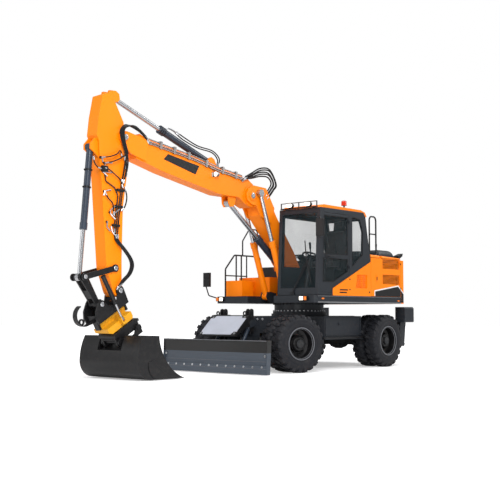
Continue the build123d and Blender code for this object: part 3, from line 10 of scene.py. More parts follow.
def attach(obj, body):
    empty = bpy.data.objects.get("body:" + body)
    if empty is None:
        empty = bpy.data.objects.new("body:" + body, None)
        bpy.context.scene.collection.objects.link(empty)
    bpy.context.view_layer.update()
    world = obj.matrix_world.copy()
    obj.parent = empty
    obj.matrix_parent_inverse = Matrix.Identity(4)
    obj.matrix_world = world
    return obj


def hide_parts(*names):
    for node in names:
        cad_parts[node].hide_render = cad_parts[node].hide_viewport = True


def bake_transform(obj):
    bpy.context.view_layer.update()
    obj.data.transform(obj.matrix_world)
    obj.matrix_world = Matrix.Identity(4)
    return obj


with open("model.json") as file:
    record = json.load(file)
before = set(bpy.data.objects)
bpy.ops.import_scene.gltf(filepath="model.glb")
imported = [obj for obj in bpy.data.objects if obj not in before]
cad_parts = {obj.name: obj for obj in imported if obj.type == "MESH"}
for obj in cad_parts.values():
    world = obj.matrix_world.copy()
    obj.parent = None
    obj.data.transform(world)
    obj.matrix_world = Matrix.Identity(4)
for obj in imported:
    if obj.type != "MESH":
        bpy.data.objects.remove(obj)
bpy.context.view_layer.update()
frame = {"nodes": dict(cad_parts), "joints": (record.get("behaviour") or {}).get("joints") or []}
scene = bpy.context.scene

# Places from the frame's joints, in metres. Stations count from the slew axis.
joints = {joint["name"]: joint for joint in frame["joints"]}
SLEW_X = joints["slew"]["pos_m"][0]
BOOM_Y = joints["boom_swing"]["pos_m"][1]


def pivot(name):
    """A joint's place in the side view, as (x, z)."""
    x, _, z = joints[name]["pos_m"]
    return x - SLEW_X, z


def direction(name):
    """A joint's axis in the side view, as (x, z)."""
    x, _, z = joints[name]["axis"]
    return x, z


FRONT_AXLE_X, AXLE_Z = pivot("steer_left")
REAR_AXLE_X, _ = pivot("spin_rear_left")
KINGPIN_Y = joints["steer_left"]["pos_m"][1]
STEERING = math.atan2(*joints["spin_front_left"]["axis"][:2])
TOOL_PIN = pivot("bucket_curl")
TOOL_PITCH = math.atan2(*direction("tool_turn"))

# Sizes shared with the solids. The rear wheels' joints lie in the middle of the outer tyres.
BOOM_HALF = 0.135
TYRE_R = AXLE_Z
TYRE_W = 0.270
RIM_R = 0.280
OUTER_MID = joints["spin_rear_left"]["pos_m"][1] - KINGPIN_Y
INNER_MID = 0.218
HOUSE_SIDE = 1.240
ROOF_TOP = 3.030
HOOD_TOP = 2.170
FRAME_SIDE = 0.950
WHEELS = [
    # name, axle x, hand, steering angle
    ("front_left", FRONT_AXLE_X, 1, STEERING),
    ("front_right", FRONT_AXLE_X, -1, STEERING),
    ("rear_left", REAR_AXLE_X, 1, 0.0),
    ("rear_right", REAR_AXLE_X, -1, 0.0),
]


def at(x, y, z):
    """Place measured from the slew axis, as a vector of the model."""
    return Vector((SLEW_X + x, y, z))


def tool(x, y, z):
    """Place in the tool frame, from the tool pin."""
    c, s = math.cos(TOOL_PITCH), math.sin(TOOL_PITCH)
    return at(TOOL_PIN[0] + x * c + z * s, BOOM_Y + y, TOOL_PIN[1] - x * s + z * c)


# Texture helpers
BUMP_DEPTH = 0.002
DUST = (0.30, 0.26, 0.22)
DUST_HEIGHT = 1.6
TONE_SCALE = 2.2
SPECK_SCALE = 14.0
THREAD_SCALE = 160.0
FLUTE_SCALE = 130.0


def nodes_of(name):
    """New material with its node tree and its shader."""
    material = bpy.data.materials.new(name)
    material.use_nodes = True
    tree = material.node_tree
    return material, tree, tree.nodes["Principled BSDF"]


def wire(tree, node, inputs):
    """Give a node's inputs their constants, or the outputs that feed them."""
    for name, value in inputs.items():
        if isinstance(value, bpy.types.NodeSocket):
            tree.links.new(value, node.inputs[name])
        else:
            node.inputs[name].default_value = value
    return node


def add_node(tree, kind, inputs):
    return wire(tree, tree.nodes.new("ShaderNode" + kind), inputs)


def object_place(tree):
    return add_node(tree, "TexCoord", {}).outputs["Object"]


def object_height(tree):
    return add_node(tree, "SeparateXYZ", {"Vector": object_place(tree)}).outputs["Z"]


def noise(tree, place, scale, detail, rough=0.55):
    inputs = {"Vector": place, "Scale": scale, "Detail": detail, "Roughness": rough}
    return add_node(tree, "TexNoise", inputs).outputs["Fac"]


def ramp(tree, source, low, high, first=0.0, last=1.0):
    """Value that runs from first to last while the source runs from low to high."""
    inputs = {"Value": source, "From Min": low, "From Max": high, "To Min": first, "To Max": last}
    return add_node(tree, "MapRange", inputs).outputs["Result"]


def product(tree, first, second):
    node = add_node(tree, "Math", {0: first, 1: second})
    node.operation = "MULTIPLY"
    return node.outputs["Value"]


def opaque(colour):
    return colour + (1.0,)


def mix(tree, factor, first, second):
    """Colour between two, each a tuple or another node's output."""
    node = tree.nodes.new("ShaderNodeMix")
    node.data_type = "RGBA"
    ends = [opaque(end) if isinstance(end, tuple) else end for end in (first, second)]
    return wire(tree, node, {"Factor": factor, "A": ends[0], "B": ends[1]}).outputs["Result"]


def bump(tree, source, strength):
    return add_node(tree, "Bump", {"Height": source, "Strength": strength, "Distance": BUMP_DEPTH})


def surface(name, colour, rough=(0.35, 0.5), metal=0.0, dust=0.15, grain=400.0, relief=0.08, coat=0.0,
            variation=0.12, bevel=0.0, gleam=0.3):
    """Painted or moulded surface with uneven tone, low dust, fine grain and rounded edges."""
    material, tree, shader = nodes_of(name)
    place = object_place(tree)
    darker = tuple(c * (1.0 - variation) for c in colour)
    toned = mix(tree, ramp(tree, noise(tree, place, TONE_SCALE, 6.0), 0.35, 0.65), darker, colour)
    speck = noise(tree, place, SPECK_SCALE, 8.0, 0.7)
    near_ground = ramp(tree, object_height(tree), DUST_HEIGHT, 0.0, 0.12, 1.0)
    dusty = product(tree, near_ground, ramp(tree, speck, 0.48, 0.78, 0.0, dust * 1.6))
    grainy = bump(tree, noise(tree, place, grain, 3.0), relief)
    if bevel:
        round_off = add_node(tree, "Bevel", {"Radius": bevel})
        round_off.samples = 4
        wire(tree, grainy, {"Normal": round_off.outputs["Normal"]})
    wire(tree, shader, {"Base Color": mix(tree, dusty, toned, DUST), "Metallic": metal,
                        "Roughness": ramp(tree, speck, 0.3, 0.7, *rough), "Specular IOR Level": gleam,
                        "Coat Weight": coat, "Coat Roughness": 0.12, "Normal": grainy.outputs["Normal"]})
    return material


def woven(name, colour):
    """Cloth of two crossing threads."""
    material, tree, shader = nodes_of(name)
    threads = []
    for turn in (0.0, math.pi / 2):
        turned = add_node(tree, "Mapping", {"Vector": object_place(tree), "Rotation": (0.0, 0.0, turn)})
        wave = {"Vector": turned.outputs["Vector"], "Scale": THREAD_SCALE, "Distortion": 0.6}
        threads.append(add_node(tree, "TexWave", wave).outputs["Fac"])
    weave = product(tree, *threads)
    lighter = tuple(min(1.0, c * 2.2) for c in colour)
    wire(tree, shader, {"Base Color": mix(tree, weave, colour, lighter), "Roughness": 0.85,
                        "Sheen Weight": 0.3, "Normal": bump(tree, weave, 0.4).outputs["Normal"]})
    return material


def glass(name, tint, clear, metal=0.0):
    """Thin tinted pane: mostly see-through, with a clean reflection."""
    material, tree, shader = nodes_of(name)
    place = object_place(tree)
    smear = ramp(tree, noise(tree, place, 5.0, 5.0), 0.4, 0.8, 0.02, 0.08)
    film = ramp(tree, noise(tree, place, 1.5, 4.0), 0.3, 0.7, clear - 0.03, clear + 0.03)
    wire(tree, shader, {"Base Color": opaque(tint), "Metallic": metal, "Specular IOR Level": 0.4,
                        "Roughness": smear, "Alpha": film})
    return material


def lit(name, colour, strength):
    """Lamp lens: fluted and glowing a little."""
    material, tree, shader = nodes_of(name)
    flutes = bump(tree, noise(tree, object_place(tree), FLUTE_SCALE, 1.0), 0.4)
    wire(tree, shader, {"Base Color": opaque(colour), "Roughness": 0.15, "Emission Color": opaque(colour),
                        "Emission Strength": strength, "Normal": flutes.outputs["Normal"]})
    return material


def banded(name, upper, lower, height):
    """Paint of one tone above a height and another below it, worn in level streaks."""
    material, tree, shader = nodes_of(name)
    band = ramp(tree, object_height(tree), height - 0.001, height + 0.001)
    streaks = add_node(tree, "Mapping", {"Vector": object_place(tree), "Scale": (1.0, 0.8, 22.0)})
    grain = noise(tree, streaks.outputs["Vector"], 5.0, 7.0, 0.5)
    worn = ramp(tree, grain, 0.35, 0.7)
    low_tone = mix(tree, worn, tuple(c * 0.86 for c in lower), tuple(c * 1.1 for c in lower))
    wire(tree, shader, {"Base Color": mix(tree, band, low_tone, upper),
                        "Roughness": ramp(tree, grain, 0.3, 0.7, 0.32, 0.5),
                        "Normal": bump(tree, grain, 0.12).outputs["Normal"]})
    return material


# Materials
ORANGE = surface("orange_paint", (1.0, 0.232, 0.0), (0.36, 0.5), dust=0.05, coat=0.05, variation=0.03,
                 bevel=0.006, gleam=0.22)
CHARCOAL = surface("charcoal_paint", (0.016, 0.020, 0.026), (0.36, 0.52), dust=0.05, coat=0.05,
                   bevel=0.006)
FRAME_GREY = surface("frame_paint", (0.018, 0.022, 0.029), (0.4, 0.58), dust=0.08, bevel=0.006)
COVER = surface("cover_paint", (0.42, 0.45, 0.52), (0.35, 0.5), dust=0.08, bevel=0.004)
BLACK = surface("black_paint", (0.006, 0.006, 0.007), (0.3, 0.48), dust=0.04, coat=0.08, bevel=0.005)
BARREL = surface("barrel_paint", (0.026, 0.036, 0.055), (0.3, 0.45), dust=0.04, coat=0.2)
GOLD = surface("gold_paint", (0.78, 0.36, 0.012), (0.3, 0.45), dust=0.06, coat=0.2, bevel=0.004)
CHROME = surface("chrome_rod", (0.50, 0.51, 0.53), (0.22, 0.30), metal=1.0, dust=0.0, relief=0.01,
                 variation=0.03)
STEEL = surface("bare_steel", (0.52, 0.53, 0.55), (0.25, 0.42), metal=1.0, dust=0.05, relief=0.05)
PIPE = surface("pipe_steel", (0.36, 0.34, 0.33), (0.30, 0.45), metal=1.0, dust=0.04, relief=0.04)
CAST = surface("cast_iron", (0.018, 0.020, 0.023), (0.5, 0.7), dust=0.10, grain=160.0, relief=0.3,
               bevel=0.006)
RUBBER = surface("tyre_rubber", (0.010, 0.011, 0.015), (0.5, 0.72), dust=0.07, grain=220.0, relief=0.25)
HOSE = surface("hose_rubber", (0.006, 0.006, 0.007), (0.38, 0.55), dust=0.02, grain=600.0, relief=0.15)
PLASTIC = surface("dark_plastic", (0.010, 0.011, 0.013), (0.45, 0.6), dust=0.03, grain=900.0, relief=0.2)
SEAL = surface("window_seal", (0.004, 0.004, 0.005), (0.5, 0.65), dust=0.02)
RING = surface("rim_edge", (0.13, 0.135, 0.15), (0.35, 0.5), dust=0.05)
AMBER = surface("amber_lens", (0.95, 0.22, 0.01), (0.1, 0.2), dust=0.0, coat=0.8)
WHITE = surface("white_edge", (0.80, 0.80, 0.80), (0.4, 0.5), dust=0.03)
RED = surface("red_lens", (0.60, 0.03, 0.01), (0.12, 0.22), dust=0.0, coat=0.8)
CLOTH = woven("seat_cloth", (0.014, 0.014, 0.016))
PANE = glass("cab_glass", (0.035, 0.055, 0.062), 0.14)
MIRROR = glass("mirror_glass", (0.60, 0.64, 0.68), 0.97, metal=0.9)
LENS = lit("lamp_lens", (1.0, 0.93, 0.80), 1.6)
BLADE = banded("blade_paint", (0.013, 0.013, 0.013), (0.052, 0.066, 0.086), 0.385)

NODES_BY_MATERIAL = (
    (ORANGE, ("counterweight", "cab_roof", "side_panels", "service_door_left", "service_door_right",
              "lower_boom", "lift_barrels", "upper_boom", "arm")),
    (CHARCOAL, ("deck", "cab_shell", "cab_door", "engine_hood")),
    (FRAME_GREY, ("chassis", "blade_arms", "blade_links", "outrigger_left", "outrigger_right")),
    (BLACK, ("front_cover", "engine_frame", "lamps", "handrails", "rockers", "bucket_link", "coupler",
             "tilt_barrels", "rotator", "bucket", "arm_lines")),
    (CAST, ("front_axle", "rear_axle", "knuckle_left", "knuckle_right", "engine_block")),
    (BARREL, ("blade_barrels", "position_barrel", "arm_barrel", "bucket_barrel")),
    (CHROME, ("blade_rods", "lift_rods", "position_rod", "arm_rod", "bucket_rod", "tilt_rod_left",
              "tilt_rod_right")),
    (PANE, ("cab_glass", "door_glass")),
    (BLADE, ("blade",)),
    (GOLD, ("tilt_frame",)),
    (PIPE, ("boom_lines",)),
    (CLOTH, ("seat",)),
    (PLASTIC, ("controls",)),
    (RUBBER, ["tyres_" + wheel[0] for wheel in WHEELS]),
    (BLACK, ["rims_" + wheel[0] for wheel in WHEELS]),
)
for material, nodes in NODES_BY_MATERIAL:
    for node in nodes:
        for slot in frame["nodes"][node].material_slots:
            slot.material = material

# Mesh helpers
CREASE = 35.0


def add_object(name, data):
    """New object in the scene."""
    obj = bpy.data.objects.new(name, data)
    scene.collection.objects.link(obj)
    return obj


def mesh_object(name, bm, material, smooth=True, crease=CREASE):
    """Object of a bmesh, with normals outward and edges sharp beyond the crease angle."""
    mesh = bpy.data.meshes.new(name)
    bm.normal_update()
    bmesh.ops.recalc_face_normals(bm, faces=bm.faces)
    bm.to_mesh(mesh)
    bm.free()
    mesh.materials.append(material)
    if smooth:
        for polygon in mesh.polygons:
            polygon.use_smooth = True
        mesh.set_sharp_from_angle(angle=math.radians(crease))
    return add_object(name, mesh)


def piece(name, bm, material, body, smooth=True):
    """Finish a bmesh as an object that rides on a body."""
    obj = mesh_object(name, bm, material, smooth)
    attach(obj, body)
    return obj


def frame_at(origin, normal, up=(0, 0, 1)):
    """Matrix whose local z is the normal at a place."""
    z = Vector(normal).normalized()
    x = Vector(up).cross(z)
    if x.length < 1e-6:
        x = Vector((1, 0, 0)).cross(z)
    x.normalize()
    matrix = Matrix((x, z.cross(x), z)).transposed().to_4x4()
    matrix.translation = Vector(origin)
    return matrix


def angles(count, first=0.0):
    """Even steps round a full turn."""
    return [first + 2 * math.pi * i / count for i in range(count)]


def on_circle(radius, angle, height=0.0):
    """Place on a circle about local z."""
    return Vector((radius * math.cos(angle), radius * math.sin(angle), height))


def join(bm, first, second):
    """Faces between two closed rings of vertices."""
    for i in range(len(first)):
        j = (i + 1) % len(first)
        bm.faces.new((first[i], first[j], second[j], second[i]))


def skin(bm, rings, closed=False):
    """Faces along a row of rings, with a cap at each end unless the row is closed."""
    for first, second in zip(rings, rings[1:]):
        join(bm, first, second)
    if closed:
        join(bm, rings[-1], rings[0])
    else:
        bm.faces.new(rings[0][::-1])
        bm.faces.new(rings[-1])


def add_box(bm, low, high):
    """Box between two corners."""
    ends = []
    for x in (low[0], high[0]):
        v = [bm.verts.new((x, y, z)) for y in (low[1], high[1]) for z in (low[2], high[2])]
        ends.append((v[0], v[1], v[3], v[2]))
    skin(bm, ends)


def circles(bm, matrix, profile, segments):
    """Rings of vertices about local z from (radius, height) pairs."""
    return [[bm.verts.new(matrix @ on_circle(radius, a, height)) for a in angles(segments)]
            for radius, height in profile]


def add_turned(bm, matrix, profile, segments):
    """Body of revolution about local z, closed at its ends."""
    skin(bm, circles(bm, matrix, profile, segments))


def add_ring(bm, matrix, profile, segments):
    """Ring of revolution about local z from a closed outline."""
    skin(bm, circles(bm, matrix, profile, segments), closed=True)


def add_bolt(bm, matrix, radius, height):
    """Hexagon head on a washer."""
    washer = [(radius * 1.45, 0.0), (radius * 1.45, height * 0.22), (radius * 1.1, height * 0.24)]
    head = [(radius * 1.1, height * 0.2), (radius * 1.1, height * 0.85), (radius * 0.9, height)]
    add_turned(bm, matrix, washer, 16)
    add_turned(bm, matrix, head, 6)


def add_prism(bm, outline, low_place, high_place):
    """Solid between two copies of an outline, each placed by a function."""
    skin(bm, [[bm.verts.new(place(*point)) for point in outline] for place in (low_place, high_place)])


def add_plate(bm, outline, y, depth):
    """Plate from a side outline in (x, z) pairs counted from the slew axis, thick from y on."""
    add_prism(bm, outline, lambda x, z: at(x, y, z), lambda x, z: at(x, y + depth, z))


def add_stadium(bm, matrix, length, height, depth):
    """Flat disc with two round ends, centred on a frame, thick along its z."""
    steps = 12
    radius = height / 2
    outline = []
    for sign in (1, -1):
        for k in range(steps + 1):
            a = math.pi * k / steps - math.pi / 2
            reach = length / 2 - radius + radius * math.cos(a)
            outline.append((sign * reach, sign * radius * math.sin(a)))
    add_prism(bm, outline, lambda x, y: matrix @ Vector((x, y, 0.0)),
              lambda x, y: matrix @ Vector((x * 0.97, y * 0.94, depth)))


def add_frame_strip(bm, outline, y, width, depth):
    """Flat strip that follows a closed outline in the side view."""
    corners = [Vector(point) for point in outline]
    centre = sum(corners, Vector((0.0, 0.0))) / len(corners)
    inner = [corner + (centre - corner).normalized() * width for corner in corners]
    rings = []
    for ring, level in ((corners, y), (corners, y + depth), (inner, y + depth), (inner, y)):
        rings.append([bm.verts.new(at(x, level, z)) for x, z in ring])
    skin(bm, rings, closed=True)


def run_of(points, steps=6):
    """Smooth run through (x, y, z) places counted from the slew axis, by Catmull and Rom."""
    places = [at(*point) for point in points]
    places = [places[0] * 2 - places[1]] + places + [places[-1] * 2 - places[-2]]
    route = []
    for a, b, c, d in zip(places, places[1:], places[2:], places[3:]):
        for k in range(steps):
            t = k / steps
            route.append(0.5 * (b * 2 + (c - a) * t + (a * 2 - b * 5 + c * 4 - d) * t * t
                                + (b * 3 - a - c * 3 + d) * t ** 3))
    route.append(places[-2])
    return route


def add_tube(bm, route, radius, sides):
    """Round tube along a list of places."""
    normal = (route[1] - route[0]).normalized().orthogonal().normalized()
    rings = []
    for index, place in enumerate(route):
        ahead = route[min(index + 1, len(route) - 1)]
        behind = route[max(index - 1, 0)]
        tangent = (ahead - behind).normalized()
        normal = (normal - tangent * normal.dot(tangent)).normalized()
        side = tangent.cross(normal)
        rings.append([bm.verts.new(place + (normal * math.cos(a) + side * math.sin(a)) * radius)
                      for a in angles(sides)])
    skin(bm, rings)


def add_grid(bm, rows):
    """Faces between rows of vertices."""
    for first, second in zip(rows, rows[1:]):
        for j in range(len(first) - 1):
            bm.faces.new((first[j], second[j], second[j + 1], first[j + 1]))


def edge_of(rows):
    """Vertices round the edge of a grid of rows, in order."""
    last = len(rows) - 1
    edge = [rows[i][0] for i in range(last)] + [rows[last][j] for j in range(last)]
    return edge + [rows[i][last] for i in range(last, 0, -1)] + [rows[0][j] for j in range(last, 0, -1)]


# Wheels: tyres with lugs on both shoulders, pale rim edges, nuts and hub caps
LUG_COUNT = 22
LUG_RISE = 0.024
TYRE_SEGMENTS = 72
BEAD_FACE = OUTER_MID + TYRE_W / 2 - 0.014
NUTS = [
    # count, circle radius, face, bolt radius and height
    (10, 0.205, OUTER_MID - 0.0665, 0.016, 0.026),
    (8, 0.112, OUTER_MID + 0.0515, 0.009, 0.008),
]


def wheel_matrix(axle_x, hand, turn):
    """Frame of a wheel, with z outward along the axle."""
    out = (hand * math.sin(turn), hand * math.cos(turn), 0)
    return frame_at(at(axle_x, hand * KINGPIN_Y, AXLE_Z), out)


def add_lug(bm, matrix, angle, inner, outer, z_in, z_out, width_in, width_out, sweep):
    """One tread block, from near the middle out over the shoulder."""
    rows = []
    for z, lean, width, top, base in (
        (z_in, 0.0, width_in, outer, inner),
        ((z_in + z_out) * 0.5, sweep * 0.55, (width_in + width_out) * 0.5, outer, inner),
        (z_out * 0.86 + z_in * 0.14, sweep * 0.9, width_out, outer - 0.004, inner),
        (z_out, sweep, width_out * 0.92, outer - 0.040, inner - 0.038),
    ):
        half = width / 2
        section = ((base, lean - half - 0.004), (top, lean - half), (top, lean + half),
                   (base, lean + half + 0.004))
        rows.append([bm.verts.new(matrix @ on_circle(radius, angle + offset / radius, z))
                     for radius, offset in section])
    add_grid(bm, rows)
    bm.faces.new(rows[0][::-1])
    bm.faces.new(rows[-1])


def add_tyre(bm, matrix, middle):
    """Carcass with its sidewall's steps, and two rows of lugs."""
    local = matrix @ Matrix.Translation((0, 0, middle))
    half = TYRE_W / 2
    base = TYRE_R - LUG_RISE
    profile = [(RIM_R, half - 0.030), (RIM_R + 0.022, half - 0.027), (RIM_R + 0.030, half - 0.012),
               (RIM_R + 0.060, half - 0.004), (RIM_R + 0.095, half), (RIM_R + 0.100, half - 0.004),
               (RIM_R + 0.135, half - 0.003), (RIM_R + 0.165, half - 0.010),
               (base - 0.030, half - 0.022), (base - 0.008, half - 0.040), (base, half - 0.065),
               (base + 0.003, 0.0)]
    mirrored = [(r, -z) for r, z in profile[-2::-1]]
    add_ring(bm, local, profile + mirrored, TYRE_SEGMENTS)
    for side, first in ((1, 0.0), (-1, math.pi / LUG_COUNT)):
        for angle in angles(LUG_COUNT, first):
            add_lug(bm, local, angle, base - 0.004, TYRE_R, side * 0.006, side * (half - 0.012),
                    0.058, 0.074, side * 0.030)


for corner, axle_x, hand, turn in WHEELS:
    hub = wheel_matrix(axle_x, hand, turn)
    bm = bmesh.new()
    add_tyre(bm, hub, INNER_MID)
    add_tyre(bm, hub, OUTER_MID)
    tyre = piece("tyre_pair_" + corner, bm, RUBBER, "wheels_" + corner)
    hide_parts("tyres_" + corner)
    bm = bmesh.new()
    add_ring(bm, hub, [(RIM_R + 0.0155, BEAD_FACE + 0.001), (RIM_R + 0.0155, BEAD_FACE - 0.010),
                       (RIM_R - 0.018, BEAD_FACE - 0.030), (RIM_R - 0.022, BEAD_FACE - 0.026),
                       (RIM_R - 0.004, BEAD_FACE + 0.001)], TYRE_SEGMENTS)
    piece("rim_ring_" + corner, bm, RING, "wheels_" + corner)
    bm = bmesh.new()
    for count, circle, face, radius, height in NUTS:
        for angle in angles(count):
            add_bolt(bm, hub @ Matrix.Translation(on_circle(circle, angle, face)), radius, height)
    cap = hub @ Matrix.Translation((0, 0, OUTER_MID + 0.0745))
    add_turned(bm, cap, [(0.075, 0.0), (0.075, 0.006), (0.062, 0.012), (0.020, 0.013)], 40)
    piece("wheel_nuts_" + corner, bm, CAST, "wheels_" + corner)

# Hoses: those that cross a joint are fixed in place between its two bodies, and a steel collar holds each
# end
HOSE_SIDES = 8
HOSE_CREASE = 40.0
fittings = defaultdict(bmesh.new)


def hose_set(name, routes, radius, bodies):
    """Hoses on one body, or that run between two bodies from start to end, fixed in place."""
    bm = bmesh.new()
    for points in routes:
        route = run_of(points)
        add_tube(bm, route, radius, HOSE_SIDES)
        for body, first, second in ((bodies[0], route[0], route[1]), (bodies[-1], route[-1], route[-2])):
            collar = [(radius * 0.8, -0.004), (radius * 1.35, 0.0), (radius * 1.35, 0.055),
                      (radius * 1.15, 0.065)]
            add_turned(fittings[body], frame_at(first, second - first), collar, 10)
    obj = mesh_object(name, bm, HOSE, crease=HOSE_CREASE)
    if len(bodies) == 1:
        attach(obj, bodies[0])
    else:
        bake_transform(obj)


TIP_ENDS = [
    # last place on the upper boom, first place on the arm
    ((4.140, 0.082, 3.944), (4.690, 0.074, 3.180)),
    ((4.140, 0.082, 3.912), (4.728, 0.074, 3.180)),
    ((4.140, 0.052, 3.998), (4.640, 0.078, 3.300)),
    ((4.150, 0.020, 4.000), (4.660, 0.078, 3.420)),
]
tip_routes = []
for index, (first, last) in enumerate(TIP_ENDS):
    spread = 0.045 * index
    tip_routes.append([
        first, (4.370, first[1] + 0.015, 4.075 + spread * 0.6),
        (4.640, 0.085 + spread * 0.5, 4.150 - spread * 0.2),
        (4.790 - spread * 0.3, 0.115 + spread * 0.3, 4.045),
        (4.770 - spread * 0.3, 0.120 + spread * 0.2, 3.880), (4.690 - spread * 0.4, 0.112, 3.690),
        (last[0] - 0.045 + spread * 0.2, 0.095, last[2] + 0.220), last,
    ])
hose_set("tip_hoses", tip_routes, 0.013, ("upper_boom", "arm"))
elbow_routes = []
for index in range(5):
    spread = 0.038 * index
    side = 0.085 + 0.02 * (index % 2)
    elbow_routes.append([
        (1.760 + 0.02 * index, side, 3.580 - 0.030 * (index % 3)),
        (1.560, side + 0.01, 3.600 + spread * 0.6), (1.300, side + 0.015, 3.665 + spread),
        (1.080 - spread * 0.4, side + 0.015, 3.668 + spread), (0.985 - spread, side + 0.02, 3.560),
        (1.060 - spread, side + 0.01, 3.430), (1.190 - spread * 0.6, side, 3.300 - 0.02 * index),
    ])
hose_set("elbow_hoses", elbow_routes, 0.014, ("lower_boom", "upper_boom"))
tool_routes = []
for index, (x, z) in enumerate(((4.800, 2.335), (4.838, 2.335), (4.874, 2.425))):
    spread = 0.030 * index
    tool_routes.append([
        (x, 0.072, z), (4.790 + spread, 0.085, 2.240), (4.680 + spread, 0.120, 2.110),
        (4.560 + spread, 0.145, 1.955), (4.525 + spread, 0.150, 1.835), (4.575 + spread, 0.145, 1.705),
        (4.690 + spread, 0.130, 1.590), (4.780 + spread, 0.110, 1.500 - spread),
    ])
hose_set("tool_hoses", tool_routes, 0.0125, ("arm", "coupler"))
hose_set("arm_hoses", [
    [(5.120, 0.080, 3.395), (5.020, 0.105, 3.370), (4.880, 0.105, 3.290), (4.770, 0.095, 3.225),
     (4.700, 0.080, 3.110)],
    [(5.075, 0.075, 3.468), (4.960, 0.110, 3.500), (4.820, 0.120, 3.560), (4.705, 0.110, 3.625),
     (4.680, 0.095, 3.560)],
    [(5.150, 0.075, 3.551), (5.020, 0.110, 3.575), (4.880, 0.120, 3.630), (4.790, 0.110, 3.700),
     (4.740, 0.095, 3.600)],
    [(4.662, 0.080, 3.120), (4.640, 0.105, 2.955), (4.676, 0.105, 2.805), (4.735, 0.080, 2.725)],
    [(5.150, 0.070, 3.370), (5.215, 0.060, 3.390), (5.262, 0.035, 3.460), (5.270, 0.015, 3.560)],
    [(5.082, 0.075, 3.009), (5.020, 0.100, 2.900), (4.930, 0.100, 2.820), (4.884, 0.080, 2.640)],
], 0.011, ("arm",))
hose_set("boom_top_hoses", [
    [(2.440, 0.035, 3.720), (2.420, 0.040, 3.850), (2.560, 0.030, 3.965), (2.920, 0.020, 4.005),
     (3.270, 0.000, 4.110), (3.440, -0.020, 4.215)],
    [(2.420, 0.055, 3.720), (2.395, 0.060, 3.870), (2.560, 0.045, 3.995), (2.930, 0.030, 4.040),
     (3.250, 0.010, 4.150), (3.400, -0.020, 4.230)],
], 0.011, ("upper_boom", "arm_barrel"))
hose_set("foot_hoses", [
    [(-0.250, y, 1.660), (-0.330, y, 1.900), (-0.260, y, 2.130), (-0.050, y, 2.230), (0.150, y, 2.165)]
    for y in (-0.160, -0.115, -0.070, -0.025, 0.020)
], 0.016, ("house", "lower_boom"))
for body, ends in fittings.items():
    piece("hose_ends_" + body, ends, STEEL, body)

# Steel elbows on the arm's left side, each from its face out and back
ELBOWS = [
    # places along one elbow, as (x, z)
    [(5.125, 3.480), (5.148, 3.548)],
    [(4.935, 3.487), (5.090, 3.466), (5.078, 3.324), (4.930, 3.330)],
    [(5.118, 3.318), (5.040, 3.262)],
    [(5.098, 2.950), (5.082, 3.012), (4.958, 3.045)],
    [(4.874, 2.787), (4.967, 2.713), (4.958, 2.657), (4.866, 2.581)],
    [(4.780, 2.745), (4.913, 2.650)],
    [(5.020, 2.533), (5.030, 2.444), (4.965, 2.385)],
    [(4.945, 2.456), (4.917, 2.372), (4.841, 2.304)],
]
ARM_FACE_Y = 0.050
ELBOW_Y = 0.080
bm = bmesh.new()
for points in ELBOWS:
    route = [at(x, ELBOW_Y, z) for x, z in points]
    feet = [at(x, ARM_FACE_Y, z) for x, z in (points[0], points[-1])]
    add_tube(bm, [feet[0]] + route + [feet[1]], 0.012, 8)
piece("arm_elbows", bm, STEEL, "arm")

# Pipes, gland rings and clamp bands on the arm and bucket cylinders


def along_barrel(cylinder, along):
    """Place on a cylinder's axis, at a distance from its tail pin."""
    tail, run = pivot(cylinder + "_swing"), direction(cylinder + "_stroke")
    return at(tail[0] + run[0] * along, BOOM_Y, tail[1] + run[1] * along)


def add_band(bm, cylinder, along, radius, length):
    """Ring round a cylinder's barrel."""
    spot = frame_at(along_barrel(cylinder, along), joints[cylinder + "_stroke"]["axis"])
    add_ring(bm, spot, [(radius - 0.008, 0.0), (radius, 0.002), (radius, length - 0.002),
                        (radius - 0.008, length)], 36)


bm = bmesh.new()
for y in (-0.020, 0.000):
    add_tube(bm, run_of([(3.430, y, 4.213), (3.530, y - 0.005, 4.250), (3.600, y - 0.020, 4.262),
                         (3.640, y - 0.035, 4.225)], 4), 0.011, 8)
piece("arm_barrel_pipes", bm, STEEL, "arm_barrel")
bm = bmesh.new()
for along in (1.165, 1.215, 1.262):
    add_band(bm, "arm_cylinder", along, 0.076, 0.020)
piece("arm_barrel_bands", bm, BLACK, "arm_barrel")
CLAMP_R = 0.058
CLAMP_W = 0.030
bm = bmesh.new()
for along in (0.360, 0.640):
    add_band(bm, "bucket_cylinder", along, CLAMP_R + 0.004, CLAMP_W)
    middle = along_barrel("bucket_cylinder", along + CLAMP_W / 2)
    for out in ((0, 1, 0), (1, 0, 0), (0, -1, 0), (-1, 0, 0)):
        screw = frame_at(middle + Vector(out) * CLAMP_R, out)
        add_turned(bm, screw, [(0.014, 0.0), (0.014, 0.022), (0.009, 0.026)], 12)
piece("bucket_barrel_bands", bm, BLACK, "bucket_barrel")

# Lenses, reflectors and the beacon
DECK_LAMPS = [
    # face x, lamp y, indicator y
    (1.160, -1.040, -1.138),
    (1.120, 0.935, 1.028),
]
LAMP_LOW = 1.312
LAMP_HIGH = 1.378
LENS_DEPTH = 0.006
bm = bmesh.new()
for y in (0.545, 0.975):
    add_stadium(bm, frame_at(at(0.980, y, ROOF_TOP + 0.0677), (1, 0, 0)), 0.138, 0.068, 0.007)
piece("roof_lamp_lenses", bm, LENS, "house")
lamps, indicators = bmesh.new(), bmesh.new()
for face, lamp_y, indicator_y in DECK_LAMPS:
    for bm, y, half in ((lamps, lamp_y, 0.042), (indicators, indicator_y, 0.030)):
        add_box(bm, at(face, y - half, LAMP_LOW), at(face + LENS_DEPTH, y + half, LAMP_HIGH))
for x, z in ((0.860, 1.341), (-1.700, 1.321)):
    add_stadium(indicators, frame_at(at(x, HOUSE_SIDE + 0.0005, z), (0, 1, 0)), 0.070, 0.030, 0.008)
